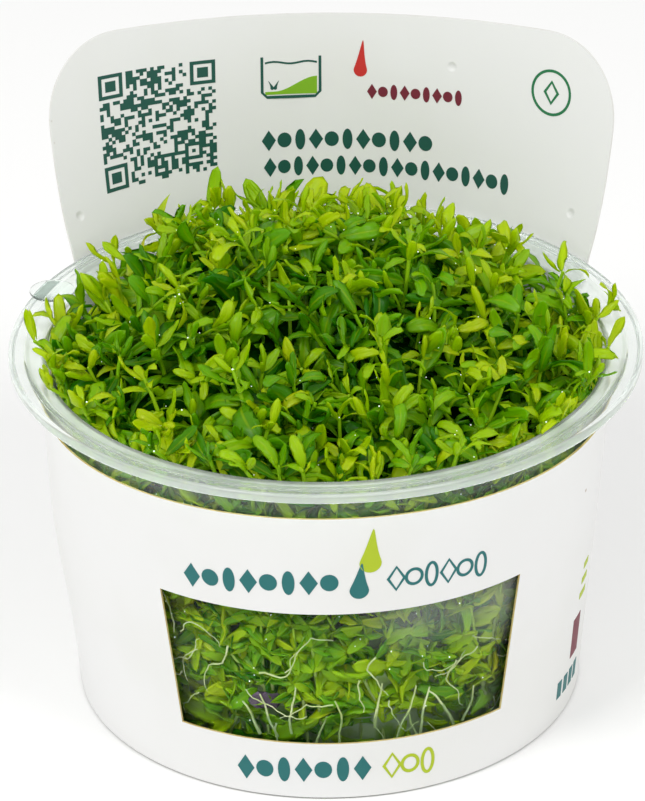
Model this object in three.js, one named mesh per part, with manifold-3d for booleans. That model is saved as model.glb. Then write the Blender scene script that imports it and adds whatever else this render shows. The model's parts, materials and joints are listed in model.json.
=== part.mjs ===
// Tissue culture pearlweed: a clear flanged cup in a card sleeve, with clear gel and a dome of leafy shoots.
// Millimetres, +Z up. The origin is the middle of the cup's flat base, and the window faces -Y.

import * as THREE from "three";
import Module from "manifold-3d";
import { mergeVertices } from "three/addons/utils/BufferGeometryUtils.js";

// Corners closer than this are one
const MERGE_DISTANCE = 1e-4;

// Cup
const CUP_SIDES = 44;
const CUP_BASE_RADIUS = 39.0;
const CUP_NECK_RADIUS = 43.8;
const CUP_WALL = 0.7;
const CUP_FLOOR = 1.0;
const CUP_CORNER = 2.4;
const FLANGE_TOP = 58.5;
const FLANGE_RADIUS = 49.0;
const FLANGE_PLATE = 0.8;
const FLANGE_LIP = 1.5;
const LIP_WIDTH = 0.9;
const BAND_INNER_RADIUS = 46.4;
const CHANNEL_OUTER_RADIUS = 45.7;
const CHANNEL_DROP = 0.6;
const MOUTH_RADIUS = 44.1;
const EDGE_ROUND = 0.3;
const NECK_Z = FLANGE_TOP - CHANNEL_DROP - FLANGE_PLATE;
const TAB_RADIUS = 3.6;
const TAB_CENTRE_RADIUS = 46.4;
const TAB_ANGLE = THREE.MathUtils.degToRad(158);
const TAB_SIDES = 20;

// Card sleeve
const CARD = 0.5;
const FIT_GAP = 0.3;
const SLEEVE_BOTTOM = 0.3;
const SLEEVE_FRONT_TOP = 51.7;
const SLEEVE_SIDE_DROP = 1.2;
const BACK_BASE_RADIUS = 39.8;
const BACK_RIM_RADIUS = 49.85;
const BACK_TURN = THREE.MathUtils.degToRad(2);
const BACK_TOP = 89.4;
const BACK_TOP_BEND_RADIUS = 89.6;
const BACK_HALF_WIDTH = 48.6;
const BACK_CORNER = 12.7;
const BACK_LEAN = Math.tan(THREE.MathUtils.degToRad(10));
const BLEND_END = THREE.MathUtils.degToRad(88);
const WINDOW_BOTTOM = 10.5;
const WINDOW_TOP = 34.6;
const WINDOW_CENTRE = THREE.MathUtils.degToRad(177);
const WINDOW_HALF_ANGLE_TOP = THREE.MathUtils.degToRad(39.5);
const WINDOW_HALF_ANGLE_BOTTOM = THREE.MathUtils.degToRad(36.9);
const BULGE = 0.9;
const BULGE_Z = 30;
const BULGE_HEIGHT = 14;
const BULGE_ANGLE = THREE.MathUtils.degToRad(-92);
const BULGE_SPREAD = THREE.MathUtils.degToRad(24);
const CORNER_STEPS = 4;
const PANEL_STEPS = 10;
const SIDE_STEPS = 8;
const FRONT_STEPS = 10;
const PANEL_ROW_SHARES = [0, 0.18, 0.45, 0.72, 1];

// Gel and plants
const GEL_TOP = 14;
const GEL_CORNER = 2;
const CLUMPS = 31;
const CLUMP_GAP = 0.32;
const SHORTEST_SIDE = 0.9;
const CORE_TOP_SHARE = 0.7;
const DISC_SIDES = 36;
const MOUTH_ROOM = CUP_NECK_RADIUS - CUP_WALL - FIT_GAP;
const OVERHANG_RADIUS = 47.4;
const DOME_PEAK = 14.5;
const DOME_EDGE = -1;
const DOME_CENTRE = new THREE.Vector2(-2, 8);
const DOME_FLAT_RADIUS = 10;
const DOME_FOOT_RADIUS = 56;
const CORE_BELOW_TIPS = 7.5;
const CORE_ROUNDING = 2;
const SHOOTS_PER_CLUMP = 3;
const SHOOT_SPREAD = 0.5;
const SHOOT_BELOW_TIPS = 5.2;
const SHOOT_HEIGHT_SPREAD = 3;
const SHOOT_ROOT_SHARE = 0.6;
const LEAST_STEM = 1.6;
const STEM_DEPTH = 1.5;
const STEM_RADIUS = 0.55;
const LEAF_LENGTH = 7.4;
const LEAF_WIDTH = 3.4;
const LEAF_THICKNESS = 0.7;
const LEAF_RIDGE = 0.45;
const WIDEST_SHARE = 0.5;
const WIDTH_PER_REACH = 0.62;
const STEEPEST_LEAF = THREE.MathUtils.degToRad(60);
const STEEPER_BY = THREE.MathUtils.degToRad(6);

const wasm = await Module();
wasm.setup();

const { lerp, clamp, smoothstep } = THREE.MathUtils;

function randomSource(seed) {
  let state = seed;
  return () => {
    state = (state * 1664525 + 1013904223) >>> 0;
    return state / 4294967296;
  };
}

function cupOuterRadius(z) {
  return lerp(CUP_BASE_RADIUS, CUP_NECK_RADIUS, z / NECK_Z);
}

function cupInnerRadius(z) {
  return cupOuterRadius(z) - CUP_WALL;
}

// Corner points on a quarter turn or less, between two angles in degrees.
function arc(centreX, centreY, radius, from, to, steps) {
  const points = [];
  for (let i = 0; i <= steps; i += 1) {
    const angle = THREE.MathUtils.degToRad(lerp(from, to, i / steps));
    points.push(new THREE.Vector2(centreX + radius * Math.cos(angle), centreY + radius * Math.sin(angle)));
  }
  return points;
}

function signedVolume(geometry) {
  const position = geometry.attributes.position;
  const index = geometry.index;
  const a = new THREE.Vector3();
  const b = new THREE.Vector3();
  const c = new THREE.Vector3();
  let volume = 0;
  for (let i = 0; i < index.count; i += 3) {
    a.fromBufferAttribute(position, index.getX(i));
    b.fromBufferAttribute(position, index.getX(i + 1));
    c.fromBufferAttribute(position, index.getX(i + 2));
    volume += a.dot(b.cross(c)) / 6;
  }
  return volume;
}

// A closed geometry with merged corners and its faces pointing out.
function closed(geometry) {
  geometry.deleteAttribute("normal");
  geometry.deleteAttribute("uv");
  const merged = mergeVertices(geometry, MERGE_DISTANCE);
  const corners = merged.index.array;
  const kept = [];
  const outward = signedVolume(merged) > 0;
  for (let i = 0; i < corners.length; i += 3) {
    const [a, b, c] = [corners[i], corners[i + 1], corners[i + 2]];
    if (a !== b && b !== c && a !== c) {
      kept.push(...(outward ? [a, b, c] : [a, c, b]));
    }
  }
  merged.setIndex(kept);
  return merged;
}

function fromTriangles(points, faces) {
  const geometry = new THREE.BufferGeometry();
  geometry.setAttribute("position", new THREE.Float32BufferAttribute(points.flatMap((p) => p.toArray()), 3));
  geometry.setIndex(faces.flat());
  return closed(geometry);
}

function toManifold(geometry) {
  const vertProperties = new Float32Array(geometry.attributes.position.array);
  const triVerts = new Uint32Array(geometry.index.array);
  return new wasm.Manifold(new wasm.Mesh({ numProp: 3, vertProperties, triVerts }));
}

function fromManifold(manifold) {
  const mesh = manifold.getMesh();
  const geometry = new THREE.BufferGeometry();
  geometry.setAttribute("position", new THREE.BufferAttribute(new Float32Array(mesh.vertProperties), 3));
  geometry.setIndex(new THREE.BufferAttribute(new Uint32Array(mesh.triVerts), 1));
  return geometry;
}

// Turns a section of radius and height, given from the axis and back to it, about +Z.
function lathe(section, sides) {
  const geometry = new THREE.LatheGeometry(section, sides);
  geometry.rotateX(Math.PI / 2);
  return closed(geometry);
}

// Cup: flat base, rounded foot, tapered thin wall, and a flange with a lip, a flat band and a sunk channel.
function cupGeometry() {
  const axis = (z) => new THREE.Vector2(0, z);
  const at = (r, z) => new THREE.Vector2(r, z);
  const lipBottom = FLANGE_TOP - FLANGE_LIP;
  const channelZ = FLANGE_TOP - CHANNEL_DROP;
  const innerCorner = CUP_CORNER - CUP_WALL;
  const footRadius = cupOuterRadius(CUP_CORNER);
  const innerFoot = cupInnerRadius(CUP_FLOOR + innerCorner);
  const mouthRound = MOUTH_RADIUS - cupInnerRadius(NECK_Z);
  const section = [
    axis(0),
    ...arc(footRadius - CUP_CORNER, CUP_CORNER, CUP_CORNER, -90, 0, 2),
    at(cupOuterRadius(NECK_Z - EDGE_ROUND), NECK_Z - EDGE_ROUND),
    at(CUP_NECK_RADIUS + EDGE_ROUND, NECK_Z),
    at(CHANNEL_OUTER_RADIUS + EDGE_ROUND, NECK_Z),
    at(BAND_INNER_RADIUS + EDGE_ROUND, FLANGE_TOP - FLANGE_PLATE),
    at(FLANGE_RADIUS - LIP_WIDTH, FLANGE_TOP - FLANGE_PLATE),
    at(FLANGE_RADIUS - LIP_WIDTH + EDGE_ROUND, lipBottom),
    at(FLANGE_RADIUS - EDGE_ROUND, lipBottom),
    at(FLANGE_RADIUS, lipBottom + EDGE_ROUND),
    at(FLANGE_RADIUS, FLANGE_TOP - EDGE_ROUND),
    at(FLANGE_RADIUS - EDGE_ROUND, FLANGE_TOP),
    at(BAND_INNER_RADIUS, FLANGE_TOP),
    at(CHANNEL_OUTER_RADIUS, channelZ),
    ...arc(MOUTH_RADIUS, channelZ - mouthRound, mouthRound, 90, 180, 2),
    ...arc(innerFoot - innerCorner, CUP_FLOOR + innerCorner, innerCorner, 0, -90, 2),
    axis(CUP_FLOOR),
  ];
  const bowl = toManifold(lathe(section, CUP_SIDES));
  const tab = new THREE.CylinderGeometry(TAB_RADIUS, TAB_RADIUS, FLANGE_PLATE / 2, TAB_SIDES);
  tab.rotateX(Math.PI / 2);
  const tabX = TAB_CENTRE_RADIUS * Math.cos(TAB_ANGLE);
  const tabY = TAB_CENTRE_RADIUS * Math.sin(TAB_ANGLE);
  tab.translate(tabX, tabY, FLANGE_TOP);
  return closed(fromManifold(bowl.add(toManifold(closed(tab)))));
}

// Outer radius of the card below the flange, at an angle from the back (+Y) towards +X.
function sleeveRadius(angle, z) {
  const snug = cupOuterRadius(z) + FIT_GAP + CARD;
  const flared = lerp(BACK_BASE_RADIUS, BACK_RIM_RADIUS, z / FLANGE_TOP);
  const fromBack = Math.abs(Math.atan2(Math.sin(angle - BACK_TURN), Math.cos(angle - BACK_TURN)));
  const backShare = 1 - smoothstep(fromBack, BACK_HALF_WIDTH / BACK_RIM_RADIUS, BLEND_END);
  const side = (angle - BULGE_ANGLE) / BULGE_SPREAD;
  const height = (z - BULGE_Z) / BULGE_HEIGHT;
  return lerp(snug, flared, backShare) + BULGE * Math.exp(-side * side - height * height);
}

// A point on the card below the flange.
function lowerCardPoint(angle, z, inset) {
  const radius = sleeveRadius(angle, z) - inset;
  return new THREE.Vector3(radius * Math.sin(angle), radius * Math.cos(angle), z);
}

// A point on the back panel, which keeps its width while it leans back and flattens towards its top.
function panelPoint(along, z, inset) {
  if (z < FLANGE_TOP) {
    return lowerCardPoint(along / BACK_RIM_RADIUS + BACK_TURN, z, inset);
  }
  const share = (z - FLANGE_TOP) / (BACK_TOP - FLANGE_TOP);
  const bend = lerp(BACK_RIM_RADIUS, BACK_TOP_BEND_RADIUS, share);
  const middle = BACK_RIM_RADIUS + BACK_LEAN * (z - FLANGE_TOP);
  const turn = along / bend;
  const point = new THREE.Vector3((bend - inset) * Math.sin(turn), middle - bend, z);
  point.y += (bend - inset) * Math.cos(turn);
  return point.applyAxisAngle(new THREE.Vector3(0, 0, 1), -BACK_TURN);
}

function panelTop(along) {
  const intoCorner = Math.abs(along) - (BACK_HALF_WIDTH - BACK_CORNER);
  const drop = intoCorner > 0 ? BACK_CORNER - Math.sqrt(Math.max(BACK_CORNER ** 2 - intoCorner ** 2, 0)) : 0;
  return BACK_TOP - drop;
}

// Columns of the sleeve, clockwise from above: back panel, right side, front with its window, left side.
function sleeveColumns() {
  const inner = BACK_HALF_WIDTH - BACK_CORNER;
  const corner = [];
  for (let i = 1; i <= CORNER_STEPS; i += 1) {
    corner.push(inner + BACK_CORNER * Math.sin((Math.PI / 2) * (i / CORNER_STEPS)));
  }
  const middle = [];
  for (let i = 0; i <= PANEL_STEPS; i += 1) {
    middle.push(lerp(-inner, inner, i / PANEL_STEPS));
  }
  const alongs = [...corner.map((s) => -s).reverse(), ...middle, ...corner];
  const columns = alongs.map((along) => ({ kind: "panel", along }));
  const addColumns = (kind, steps, first) => {
    for (let i = first; i < steps; i += 1) {
      columns.push({ kind, share: i / steps });
    }
  };
  addColumns("right", SIDE_STEPS, 1);
  addColumns("front", FRONT_STEPS, 0);
  addColumns("left", SIDE_STEPS, 0);
  return columns;
}

// Angle from the back of a column at a height; the window's slanted ends steer the columns beside it.
function columnAngle(column, z) {
  const share = clamp((z - WINDOW_BOTTOM) / (WINDOW_TOP - WINDOW_BOTTOM), 0, 1);
  const half = lerp(WINDOW_HALF_ANGLE_BOTTOM, WINDOW_HALF_ANGLE_TOP, share);
  const panelEnd = BACK_HALF_WIDTH / BACK_RIM_RADIUS;
  const right = WINDOW_CENTRE - half;
  const left = WINDOW_CENTRE + half;
  const spans = {
    right: [BACK_TURN + panelEnd, right],
    front: [right, left],
    left: [left, 2 * Math.PI + BACK_TURN - panelEnd],
  };
  const [from, to] = spans[column.kind];
  const angle = lerp(from, to, column.share);
  return angle > Math.PI ? angle - 2 * Math.PI : angle;
}

function sleeveGeometry() {
  const columns = sleeveColumns();
  const lowerRows = [SLEEVE_BOTTOM, WINDOW_BOTTOM, (WINDOW_BOTTOM + WINDOW_TOP) / 2, WINDOW_TOP];
  const rows = lowerRows.length + PANEL_ROW_SHARES.length;
  const sideTop = (angle) => SLEEVE_FRONT_TOP - SLEEVE_SIDE_DROP * Math.sin(angle) ** 2;
  const place = (column, row, inset) => {
    if (row < lowerRows.length) {
      const z = lowerRows[row];
      return column.kind === "panel"
        ? panelPoint(column.along, z, inset)
        : lowerCardPoint(columnAngle(column, z), z, inset);
    }
    if (column.kind !== "panel") {
      const angle = columnAngle(column, SLEEVE_FRONT_TOP);
      return lowerCardPoint(angle, sideTop(angle), inset);
    }
    const shoulder = sideTop(BACK_HALF_WIDTH / BACK_RIM_RADIUS);
    const z = lerp(shoulder, panelTop(column.along), PANEL_ROW_SHARES[row - lowerRows.length]);
    return panelPoint(column.along, z, inset);
  };
  const inWindow = (i, row) => columns[i].kind === "front" && (row === 1 || row === 2);
  const isPanel = (i) => columns[i % columns.length].kind === "panel";
  const present = (i, row) => {
    if (row < 0 || row >= rows - 1) {
      return false;
    }
    return row < lowerRows.length ? !inWindow(i, row) : isPanel(i) && isPanel(i + 1);
  };
  const count = columns.length;
  const points = [];
  for (const inset of [0, CARD]) {
    for (const column of columns) {
      for (let row = 0; row < rows; row += 1) {
        points.push(place(column, row, inset));
      }
    }
  }
  const outer = (i, row) => (i % count) * rows + row;
  const inner = (i, row) => count * rows + outer(i, row);
  const faces = [];
  const quad = (a, b, c, d) => faces.push([a, b, c], [a, c, d]);
  for (let i = 0; i < count; i += 1) {
    const before = (i + count - 1) % count;
    const after = (i + 1) % count;
    for (let row = 0; row < rows - 1; row += 1) {
      if (present(i, row)) {
        quad(outer(i, row), outer(i, row + 1), outer(i + 1, row + 1), outer(i + 1, row));
        quad(inner(i, row), inner(i + 1, row), inner(i + 1, row + 1), inner(i, row + 1));
        if (!present(i, row - 1)) {
          quad(outer(i, row), outer(i + 1, row), inner(i + 1, row), inner(i, row));
        }
        if (!present(i, row + 1)) {
          quad(outer(i, row + 1), inner(i, row + 1), inner(i + 1, row + 1), outer(i + 1, row + 1));
        }
        if (!present(before, row)) {
          quad(outer(i, row), inner(i, row), inner(i, row + 1), outer(i, row + 1));
        }
        if (!present(after, row)) {
          quad(outer(i + 1, row), outer(i + 1, row + 1), inner(i + 1, row + 1), inner(i + 1, row));
        }
      }
    }
  }
  return fromTriangles(points, faces);
}

function gelGeometry() {
  const bottom = CUP_FLOOR + FIT_GAP;
  const side = (z) => cupInnerRadius(z) - FIT_GAP;
  const section = [
    new THREE.Vector2(0, bottom),
    ...arc(side(bottom + GEL_CORNER) - GEL_CORNER, bottom + GEL_CORNER, GEL_CORNER, -90, 0, 2),
    new THREE.Vector2(side(GEL_TOP), GEL_TOP),
    new THREE.Vector2(0, GEL_TOP),
  ];
  return lathe(section, CUP_SIDES);
}

// Height of the leaf tips over a place in the cup.
function domeHeight(x, y) {
  const away = Math.hypot(x - DOME_CENTRE.x, y - DOME_CENTRE.y);
  return FLANGE_TOP + lerp(DOME_PEAK, DOME_EDGE, smoothstep(away, DOME_FLAT_RADIUS, DOME_FOOT_RADIUS));
}

// Middles of the clumps, spread evenly over the mouth as seeds are in a flower head.
function clumpMiddles() {
  const goldenAngle = Math.PI * (3 - Math.sqrt(5));
  const middles = [];
  for (let i = 0; i < CLUMPS; i += 1) {
    const radius = (MOUTH_ROOM - 1) * Math.sqrt((i + 0.5) / CLUMPS);
    middles.push(new THREE.Vector2(radius * Math.cos(i * goldenAngle), radius * Math.sin(i * goldenAngle)));
  }
  return middles;
}

// The part of a disc that is nearer to one middle than to the others, with half a gap taken off.
function cellOutline(middles, own, discRadius) {
  let outline = [];
  for (let i = 0; i < DISC_SIDES; i += 1) {
    const angle = (i / DISC_SIDES) * 2 * Math.PI;
    outline.push(new THREE.Vector2(discRadius * Math.cos(angle), discRadius * Math.sin(angle)));
  }
  middles.forEach((other, index) => {
    if (index === own) {
      return;
    }
    const away = other.clone().sub(middles[own]).normalize();
    const edge = other.clone().add(middles[own]).multiplyScalar(0.5).dot(away) - CLUMP_GAP / 2;
    const kept = [];
    outline.forEach((point, i) => {
      const next = outline[(i + 1) % outline.length];
      const here = point.dot(away) - edge;
      const there = next.dot(away) - edge;
      if (here <= 0) {
        kept.push(point);
      }
      if (here * there < 0) {
        kept.push(point.clone().lerp(next, here / (here - there)));
      }
    });
    outline = kept;
  });
  return outline.filter((point, i) => point.distanceTo(outline[(i + 1) % outline.length]) > SHORTEST_SIDE);
}

// How much of a step from a point stays inside every outline; the outlines are convex and run anticlockwise.
function shareInside(outlines, from, step) {
  let share = 1;
  outlines.forEach((outline) => outline.forEach((corner, i) => {
    const side = outline[(i + 1) % outline.length].clone().sub(corner);
    const outward = new THREE.Vector2(side.y, -side.x).normalize();
    const room = corner.clone().sub(from).dot(outward);
    const used = outward.dot(step);
    if (used > 0) {
      share = Math.min(share, Math.max(room, 0) / used);
    }
  }));
  return share;
}

// A solid with the same number of corners at each level, closed by a fan at both ends.
function stacked(levels) {
  const sides = levels[0].length;
  const points = levels.flat();
  const faces = [];
  for (let level = 0; level + 1 < levels.length; level += 1) {
    for (let i = 0; i < sides; i += 1) {
      const a = level * sides + i;
      const b = level * sides + ((i + 1) % sides);
      faces.push([a, b, b + sides], [a, b + sides, a + sides]);
    }
  }
  const top = (levels.length - 1) * sides;
  for (let i = 1; i + 1 < sides; i += 1) {
    faces.push([0, i + 1, i], [top, top + i, top + i + 1]);
  }
  return fromTriangles(points, faces);
}

function coreTop(middle) {
  return domeHeight(middle.x, middle.y) - CORE_BELOW_TIPS;
}

// The packed stems and lower leaves of one clump. All clumps narrow downwards together, as the cup does.
function clumpCore(cell, middle) {
  const top = coreTop(middle);
  const levels = [
    [GEL_TOP + FIT_GAP, 1],
    [Math.min(top - CORE_ROUNDING, NECK_Z), 1],
    [top, CORE_TOP_SHARE],
  ];
  return stacked(levels.map(([z, scale]) => cell.map((corner) => {
    const taper = (cupInnerRadius(Math.min(z, NECK_Z)) - FIT_GAP) / MOUTH_ROOM;
    const point = corner.clone().sub(middle).multiplyScalar(scale).add(middle).multiplyScalar(taper);
    return new THREE.Vector3(point.x, point.y, z);
  })));
}

// Triangles of one leaf that grows out of a stem face: corners 0 to 3 go round that face from its lower left,
// 4 and 5 are the blade's left and right edges, and 6 is its tip. The upper side has a raised middle.
const LEAF_FACES = [
  [0, 1, 5],
  [0, 5, 4],
  [4, 5, 6],
  [1, 2, 5],
  [2, 3, 6],
  [2, 6, 5],
  [3, 4, 6],
  [3, 0, 4],
];

// The corners of a leaf beyond its stem, from the stem's end: two edges and a tip.
function leafSteps(heading, rise, size) {
  const out = new THREE.Vector3(Math.cos(heading), Math.sin(heading), 0);
  const up = new THREE.Vector3(0, 0, 1);
  const along = out.clone().multiplyScalar(Math.cos(rise)).addScaledVector(up, Math.sin(rise));
  const under = out.clone().multiplyScalar(Math.sin(rise)).addScaledVector(up, -Math.cos(rise));
  along.multiplyScalar(LEAF_LENGTH * size);
  under.multiplyScalar(LEAF_RIDGE);
  const widest = along.clone().multiplyScalar(WIDEST_SHARE).add(under);
  const halfWidth = Math.min((LEAF_WIDTH * size) / 2, WIDTH_PER_REACH * widest.dot(out));
  const across = new THREE.Vector3(-out.y, out.x, 0).multiplyScalar(halfWidth);
  return [widest.clone().sub(across), widest.clone().add(across), along];
}

// A leaf with too little room beside it stands steeper, and what still does not fit is taken off its size.
function leafPoints(foot, heading, rise, size, outlines) {
  const place = new THREE.Vector2(foot.x, foot.y);
  const roomFor = (steps) => Math.min(...steps.map((step) => shareInside(outlines, place, step)));
  let steps = leafSteps(heading, rise, size);
  for (let turn = rise; turn < STEEPEST_LEAF && roomFor(steps) < 1; turn += STEEPER_BY) {
    steps = leafSteps(heading, Math.min(turn + STEEPER_BY, STEEPEST_LEAF), size);
  }
  const share = roomFor(steps);
  return steps.map((step) => step.multiplyScalar(share).add(foot));
}

// A square stem that ends in a whorl of four leaves, every second one steeper.
function shootSolid(root, tip, outlines, random) {
  const turn = random() * Math.PI;
  const nodeFoot = tip.clone().setZ(tip.z - LEAF_THICKNESS);
  const points = [root, nodeFoot, tip].flatMap((middle) => [0, 1, 2, 3].map((k) => {
    const angle = turn + k * (Math.PI / 2);
    return new THREE.Vector3(Math.cos(angle), Math.sin(angle), 0).multiplyScalar(STEM_RADIUS).add(middle);
  }));
  const faces = [[0, 2, 1], [0, 3, 2], [8, 9, 10], [8, 10, 11]];
  for (let k = 0; k < 4; k += 1) {
    const next = (k + 1) % 4;
    faces.push([k, next, 4 + next], [k, 4 + next, 4 + k]);
    const rise = THREE.MathUtils.degToRad(k % 2 === 0 ? 44 + 18 * random() : 14 + 16 * random());
    const heading = turn + (k + 0.5 + 0.24 * (random() - 0.5)) * (Math.PI / 2);
    const first = points.length;
    points.push(...leafPoints(tip, heading, rise, 0.86 + 0.28 * random(), outlines));
    const corners = [4 + k, 4 + next, 8 + next, 8 + k, first, first + 1, first + 2];
    LEAF_FACES.forEach((face) => faces.push(face.map((corner) => corners[corner])));
  }
  return toManifold(fromTriangles(points, faces));
}

// Where a clump's shoots end below their leaves, spread round its middle.
function shootFeet(cell, middle, random) {
  const start = 2 * Math.PI * random();
  const far = 2 * FLANGE_RADIUS;
  const feet = [];
  for (let i = 0; i < SHOOTS_PER_CLUMP; i += 1) {
    const angle = start + ((i + 0.3 * random()) / SHOOTS_PER_CLUMP) * 2 * Math.PI;
    const away = new THREE.Vector2(Math.cos(angle), Math.sin(angle)).multiplyScalar(far);
    feet.push(middle.clone().addScaledVector(away, SHOOT_SPREAD * shareInside([cell], middle, away)));
  }
  return feet;
}

// One clump: a core with shoots that keep to their own places, so that no leaf meets another.
function clumpGeometry(middles, own, cells, feet, random) {
  const middle = middles[own];
  let clump = toManifold(clumpCore(cells[own], middle));
  for (let i = own * SHOOTS_PER_CLUMP; i < (own + 1) * SHOOTS_PER_CLUMP; i += 1) {
    const foot = feet[i];
    const sway = SHOOT_HEIGHT_SPREAD * (random() - 0.5);
    const tipZ = Math.max(domeHeight(foot.x, foot.y) - SHOOT_BELOW_TIPS + sway, coreTop(middle) + LEAST_STEM);
    const disc = tipZ > FLANGE_TOP + FIT_GAP ? OVERHANG_RADIUS : MOUTH_ROOM;
    const outlines = [cellOutline(middles, own, disc), cellOutline(feet, i, disc)];
    const root = middle.clone().lerp(foot, SHOOT_ROOT_SHARE);
    const rootPoint = new THREE.Vector3(root.x, root.y, coreTop(middle) - STEM_DEPTH);
    clump = clump.add(shootSolid(rootPoint, new THREE.Vector3(foot.x, foot.y, tipZ), outlines, random));
  }
  return closed(fromManifold(clump));
}

function material(color, roughness, metalness = 0) {
  return new THREE.MeshStandardMaterial({ color, roughness, metalness });
}

const group = new THREE.Group();

function addMesh(name, geometry, finish) {
  const mesh = new THREE.Mesh(geometry, finish);
  mesh.name = name;
  group.add(mesh);
}

const leafGreens = [0x6fa01c, 0x83b01e, 0x5a8f1c, 0x97b421];

addMesh("cup", cupGeometry(), material(0xdfe6e4, 0.18));
addMesh("sleeve", sleeveGeometry(), material(0xf0f0ee, 0.55));
addMesh("gel", gelGeometry(), material(0xcfd8cc, 0.2));

const random = randomSource(9013);
const middles = clumpMiddles();
const cells = middles.map((_, i) => cellOutline(middles, i, MOUTH_ROOM));
const feet = middles.flatMap((middle, i) => shootFeet(cells[i], middle, random));
middles.forEach((_, i) => {
  const name = `shoot_clump_${String(i + 1).padStart(2, "0")}`;
  addMesh(name, clumpGeometry(middles, i, cells, feet, random), material(leafGreens[i % leafGreens.length], 0.5));
});

export default group;
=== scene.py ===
"""Tissue culture pearlweed: a clear flanged cup in a printed card sleeve, packed with leafy shoots over clear gel.

Every size is in millimetres until a mesh is made, which is in metres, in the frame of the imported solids.
"""

import json
import logging
import math
import random
from dataclasses import dataclass, field
from enum import Enum
from typing import Callable, Iterable, Mapping, Sequence

import bmesh
import bpy
from mathutils import Matrix, Vector

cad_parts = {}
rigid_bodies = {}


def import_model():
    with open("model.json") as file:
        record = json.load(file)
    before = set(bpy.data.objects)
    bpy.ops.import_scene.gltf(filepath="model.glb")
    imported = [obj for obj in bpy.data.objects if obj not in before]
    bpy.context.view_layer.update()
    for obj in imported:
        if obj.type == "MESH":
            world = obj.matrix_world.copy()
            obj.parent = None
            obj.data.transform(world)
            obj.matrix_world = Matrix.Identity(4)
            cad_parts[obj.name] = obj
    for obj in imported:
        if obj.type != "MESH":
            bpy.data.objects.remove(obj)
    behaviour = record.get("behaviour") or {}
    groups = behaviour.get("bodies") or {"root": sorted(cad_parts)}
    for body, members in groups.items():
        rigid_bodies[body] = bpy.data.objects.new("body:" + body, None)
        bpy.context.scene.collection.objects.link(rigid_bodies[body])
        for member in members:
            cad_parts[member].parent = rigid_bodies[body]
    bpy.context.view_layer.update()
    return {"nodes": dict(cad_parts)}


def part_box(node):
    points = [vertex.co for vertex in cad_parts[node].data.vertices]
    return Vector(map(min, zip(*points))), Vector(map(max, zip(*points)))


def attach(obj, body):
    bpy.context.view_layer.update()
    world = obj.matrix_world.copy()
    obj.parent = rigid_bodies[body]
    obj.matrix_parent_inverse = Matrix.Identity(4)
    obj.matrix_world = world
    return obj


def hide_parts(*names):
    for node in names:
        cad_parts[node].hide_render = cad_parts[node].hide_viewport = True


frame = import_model()

LOG = logging.getLogger("pearlweed")
MILLIMETRE = 0.001
BODY = "root"
FULL_TURN = 2 * math.pi
UP = Vector((0, 0, 1))

Face = tuple[int, ...]
Pair = tuple[float, float]
Spot = tuple[float, float, float]
Colour = tuple[float, float, float, float]


def srgb(red: int, green: int, blue: int) -> Colour:
    """The linear colour of three screen values from 0 to 255.

    Args:
        red: The red value.
        green: The green value.
        blue: The blue value.

    Returns:
        The colour, opaque.
    """
    shares = [value / 255 for value in (red, green, blue)]
    linear = [s / 12.92 if s <= 0.04045 else ((s + 0.055) / 1.055) ** 2.4 for s in shares]
    return (*linear, 1.0)


def lerp(start: float, end: float, share: float) -> float:
    """The value a share of the way from start to end."""
    return start + (end - start) * share


def smooth_share(value: float, low: float, high: float) -> float:
    """How far a value is from low to high, from 0 to 1, eased at both ends."""
    share = min(max((value - low) / (high - low), 0.0), 1.0)
    return share * share * (3 - 2 * share)


def polar(radius: float, angle: float, height: float) -> Vector:
    """A point at an angle from the back (+Y) towards +X."""
    return Vector((radius * math.sin(angle), radius * math.cos(angle), height))


def curve(start: Vector, middle: Vector, end: Vector, steps: int) -> list[Vector]:
    """Points along the curve from start to end that bends towards middle."""
    shares = [k / steps for k in range(steps + 1)]
    return [start * (1 - t) ** 2 + middle * 2 * t * (1 - t) + end * t * t for t in shares]


def outward(place: Vector) -> Vector:
    """The level direction from the axis to a place."""
    return Vector((place.x, place.y, 0)).normalized()


def linked(name: str, data: bpy.types.ID) -> bpy.types.Object:
    """A new object in the scene, with its mesh, lamp or camera.

    Args:
        name: The object's name.
        data: Its mesh, lamp or camera.

    Returns:
        The object.
    """
    made = bpy.data.objects.new(name, data)
    bpy.context.scene.collection.objects.link(made)
    return made


# Node trees


class Value:
    """A socket whose arithmetic adds the nodes for it."""

    def __init__(self, writer: "NodeWriter", socket: bpy.types.NodeSocket | None) -> None:
        """Keeps the socket and the writer of its tree."""
        self.writer = writer
        self.socket = socket

    def _math(self, operation: str, first: "Value | float", second: "Value | float" = 0.0) -> "Value":
        """A Math node on one or two values."""
        return self.writer.node("ShaderNodeMath", {"operation": operation}, {0: first, 1: second})

    def __add__(self, other: "Value | float") -> "Value":
        """Sum."""
        return self._math("ADD", self, other)

    __radd__ = __add__

    def __sub__(self, other: "Value | float") -> "Value":
        """Difference."""
        return self._math("SUBTRACT", self, other)

    def __rsub__(self, other: float) -> "Value":
        """Difference from a number."""
        return self._math("SUBTRACT", other, self)

    def __mul__(self, other: "Value | float") -> "Value":
        """Product."""
        return self._math("MULTIPLY", self, other)

    __rmul__ = __mul__

    def __abs__(self) -> "Value":
        """Size without sign."""
        return self._math("ABSOLUTE", self)

    def eased(self, low: float, high: float) -> "Value":
        """0 below low, 1 above high, and eased between them; low may be the larger."""
        sockets = {"Value": self, "From Min": low, "From Max": high}
        return self.writer.node("ShaderNodeMapRange", {"interpolation_type": "SMOOTHSTEP"}, sockets)


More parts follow.
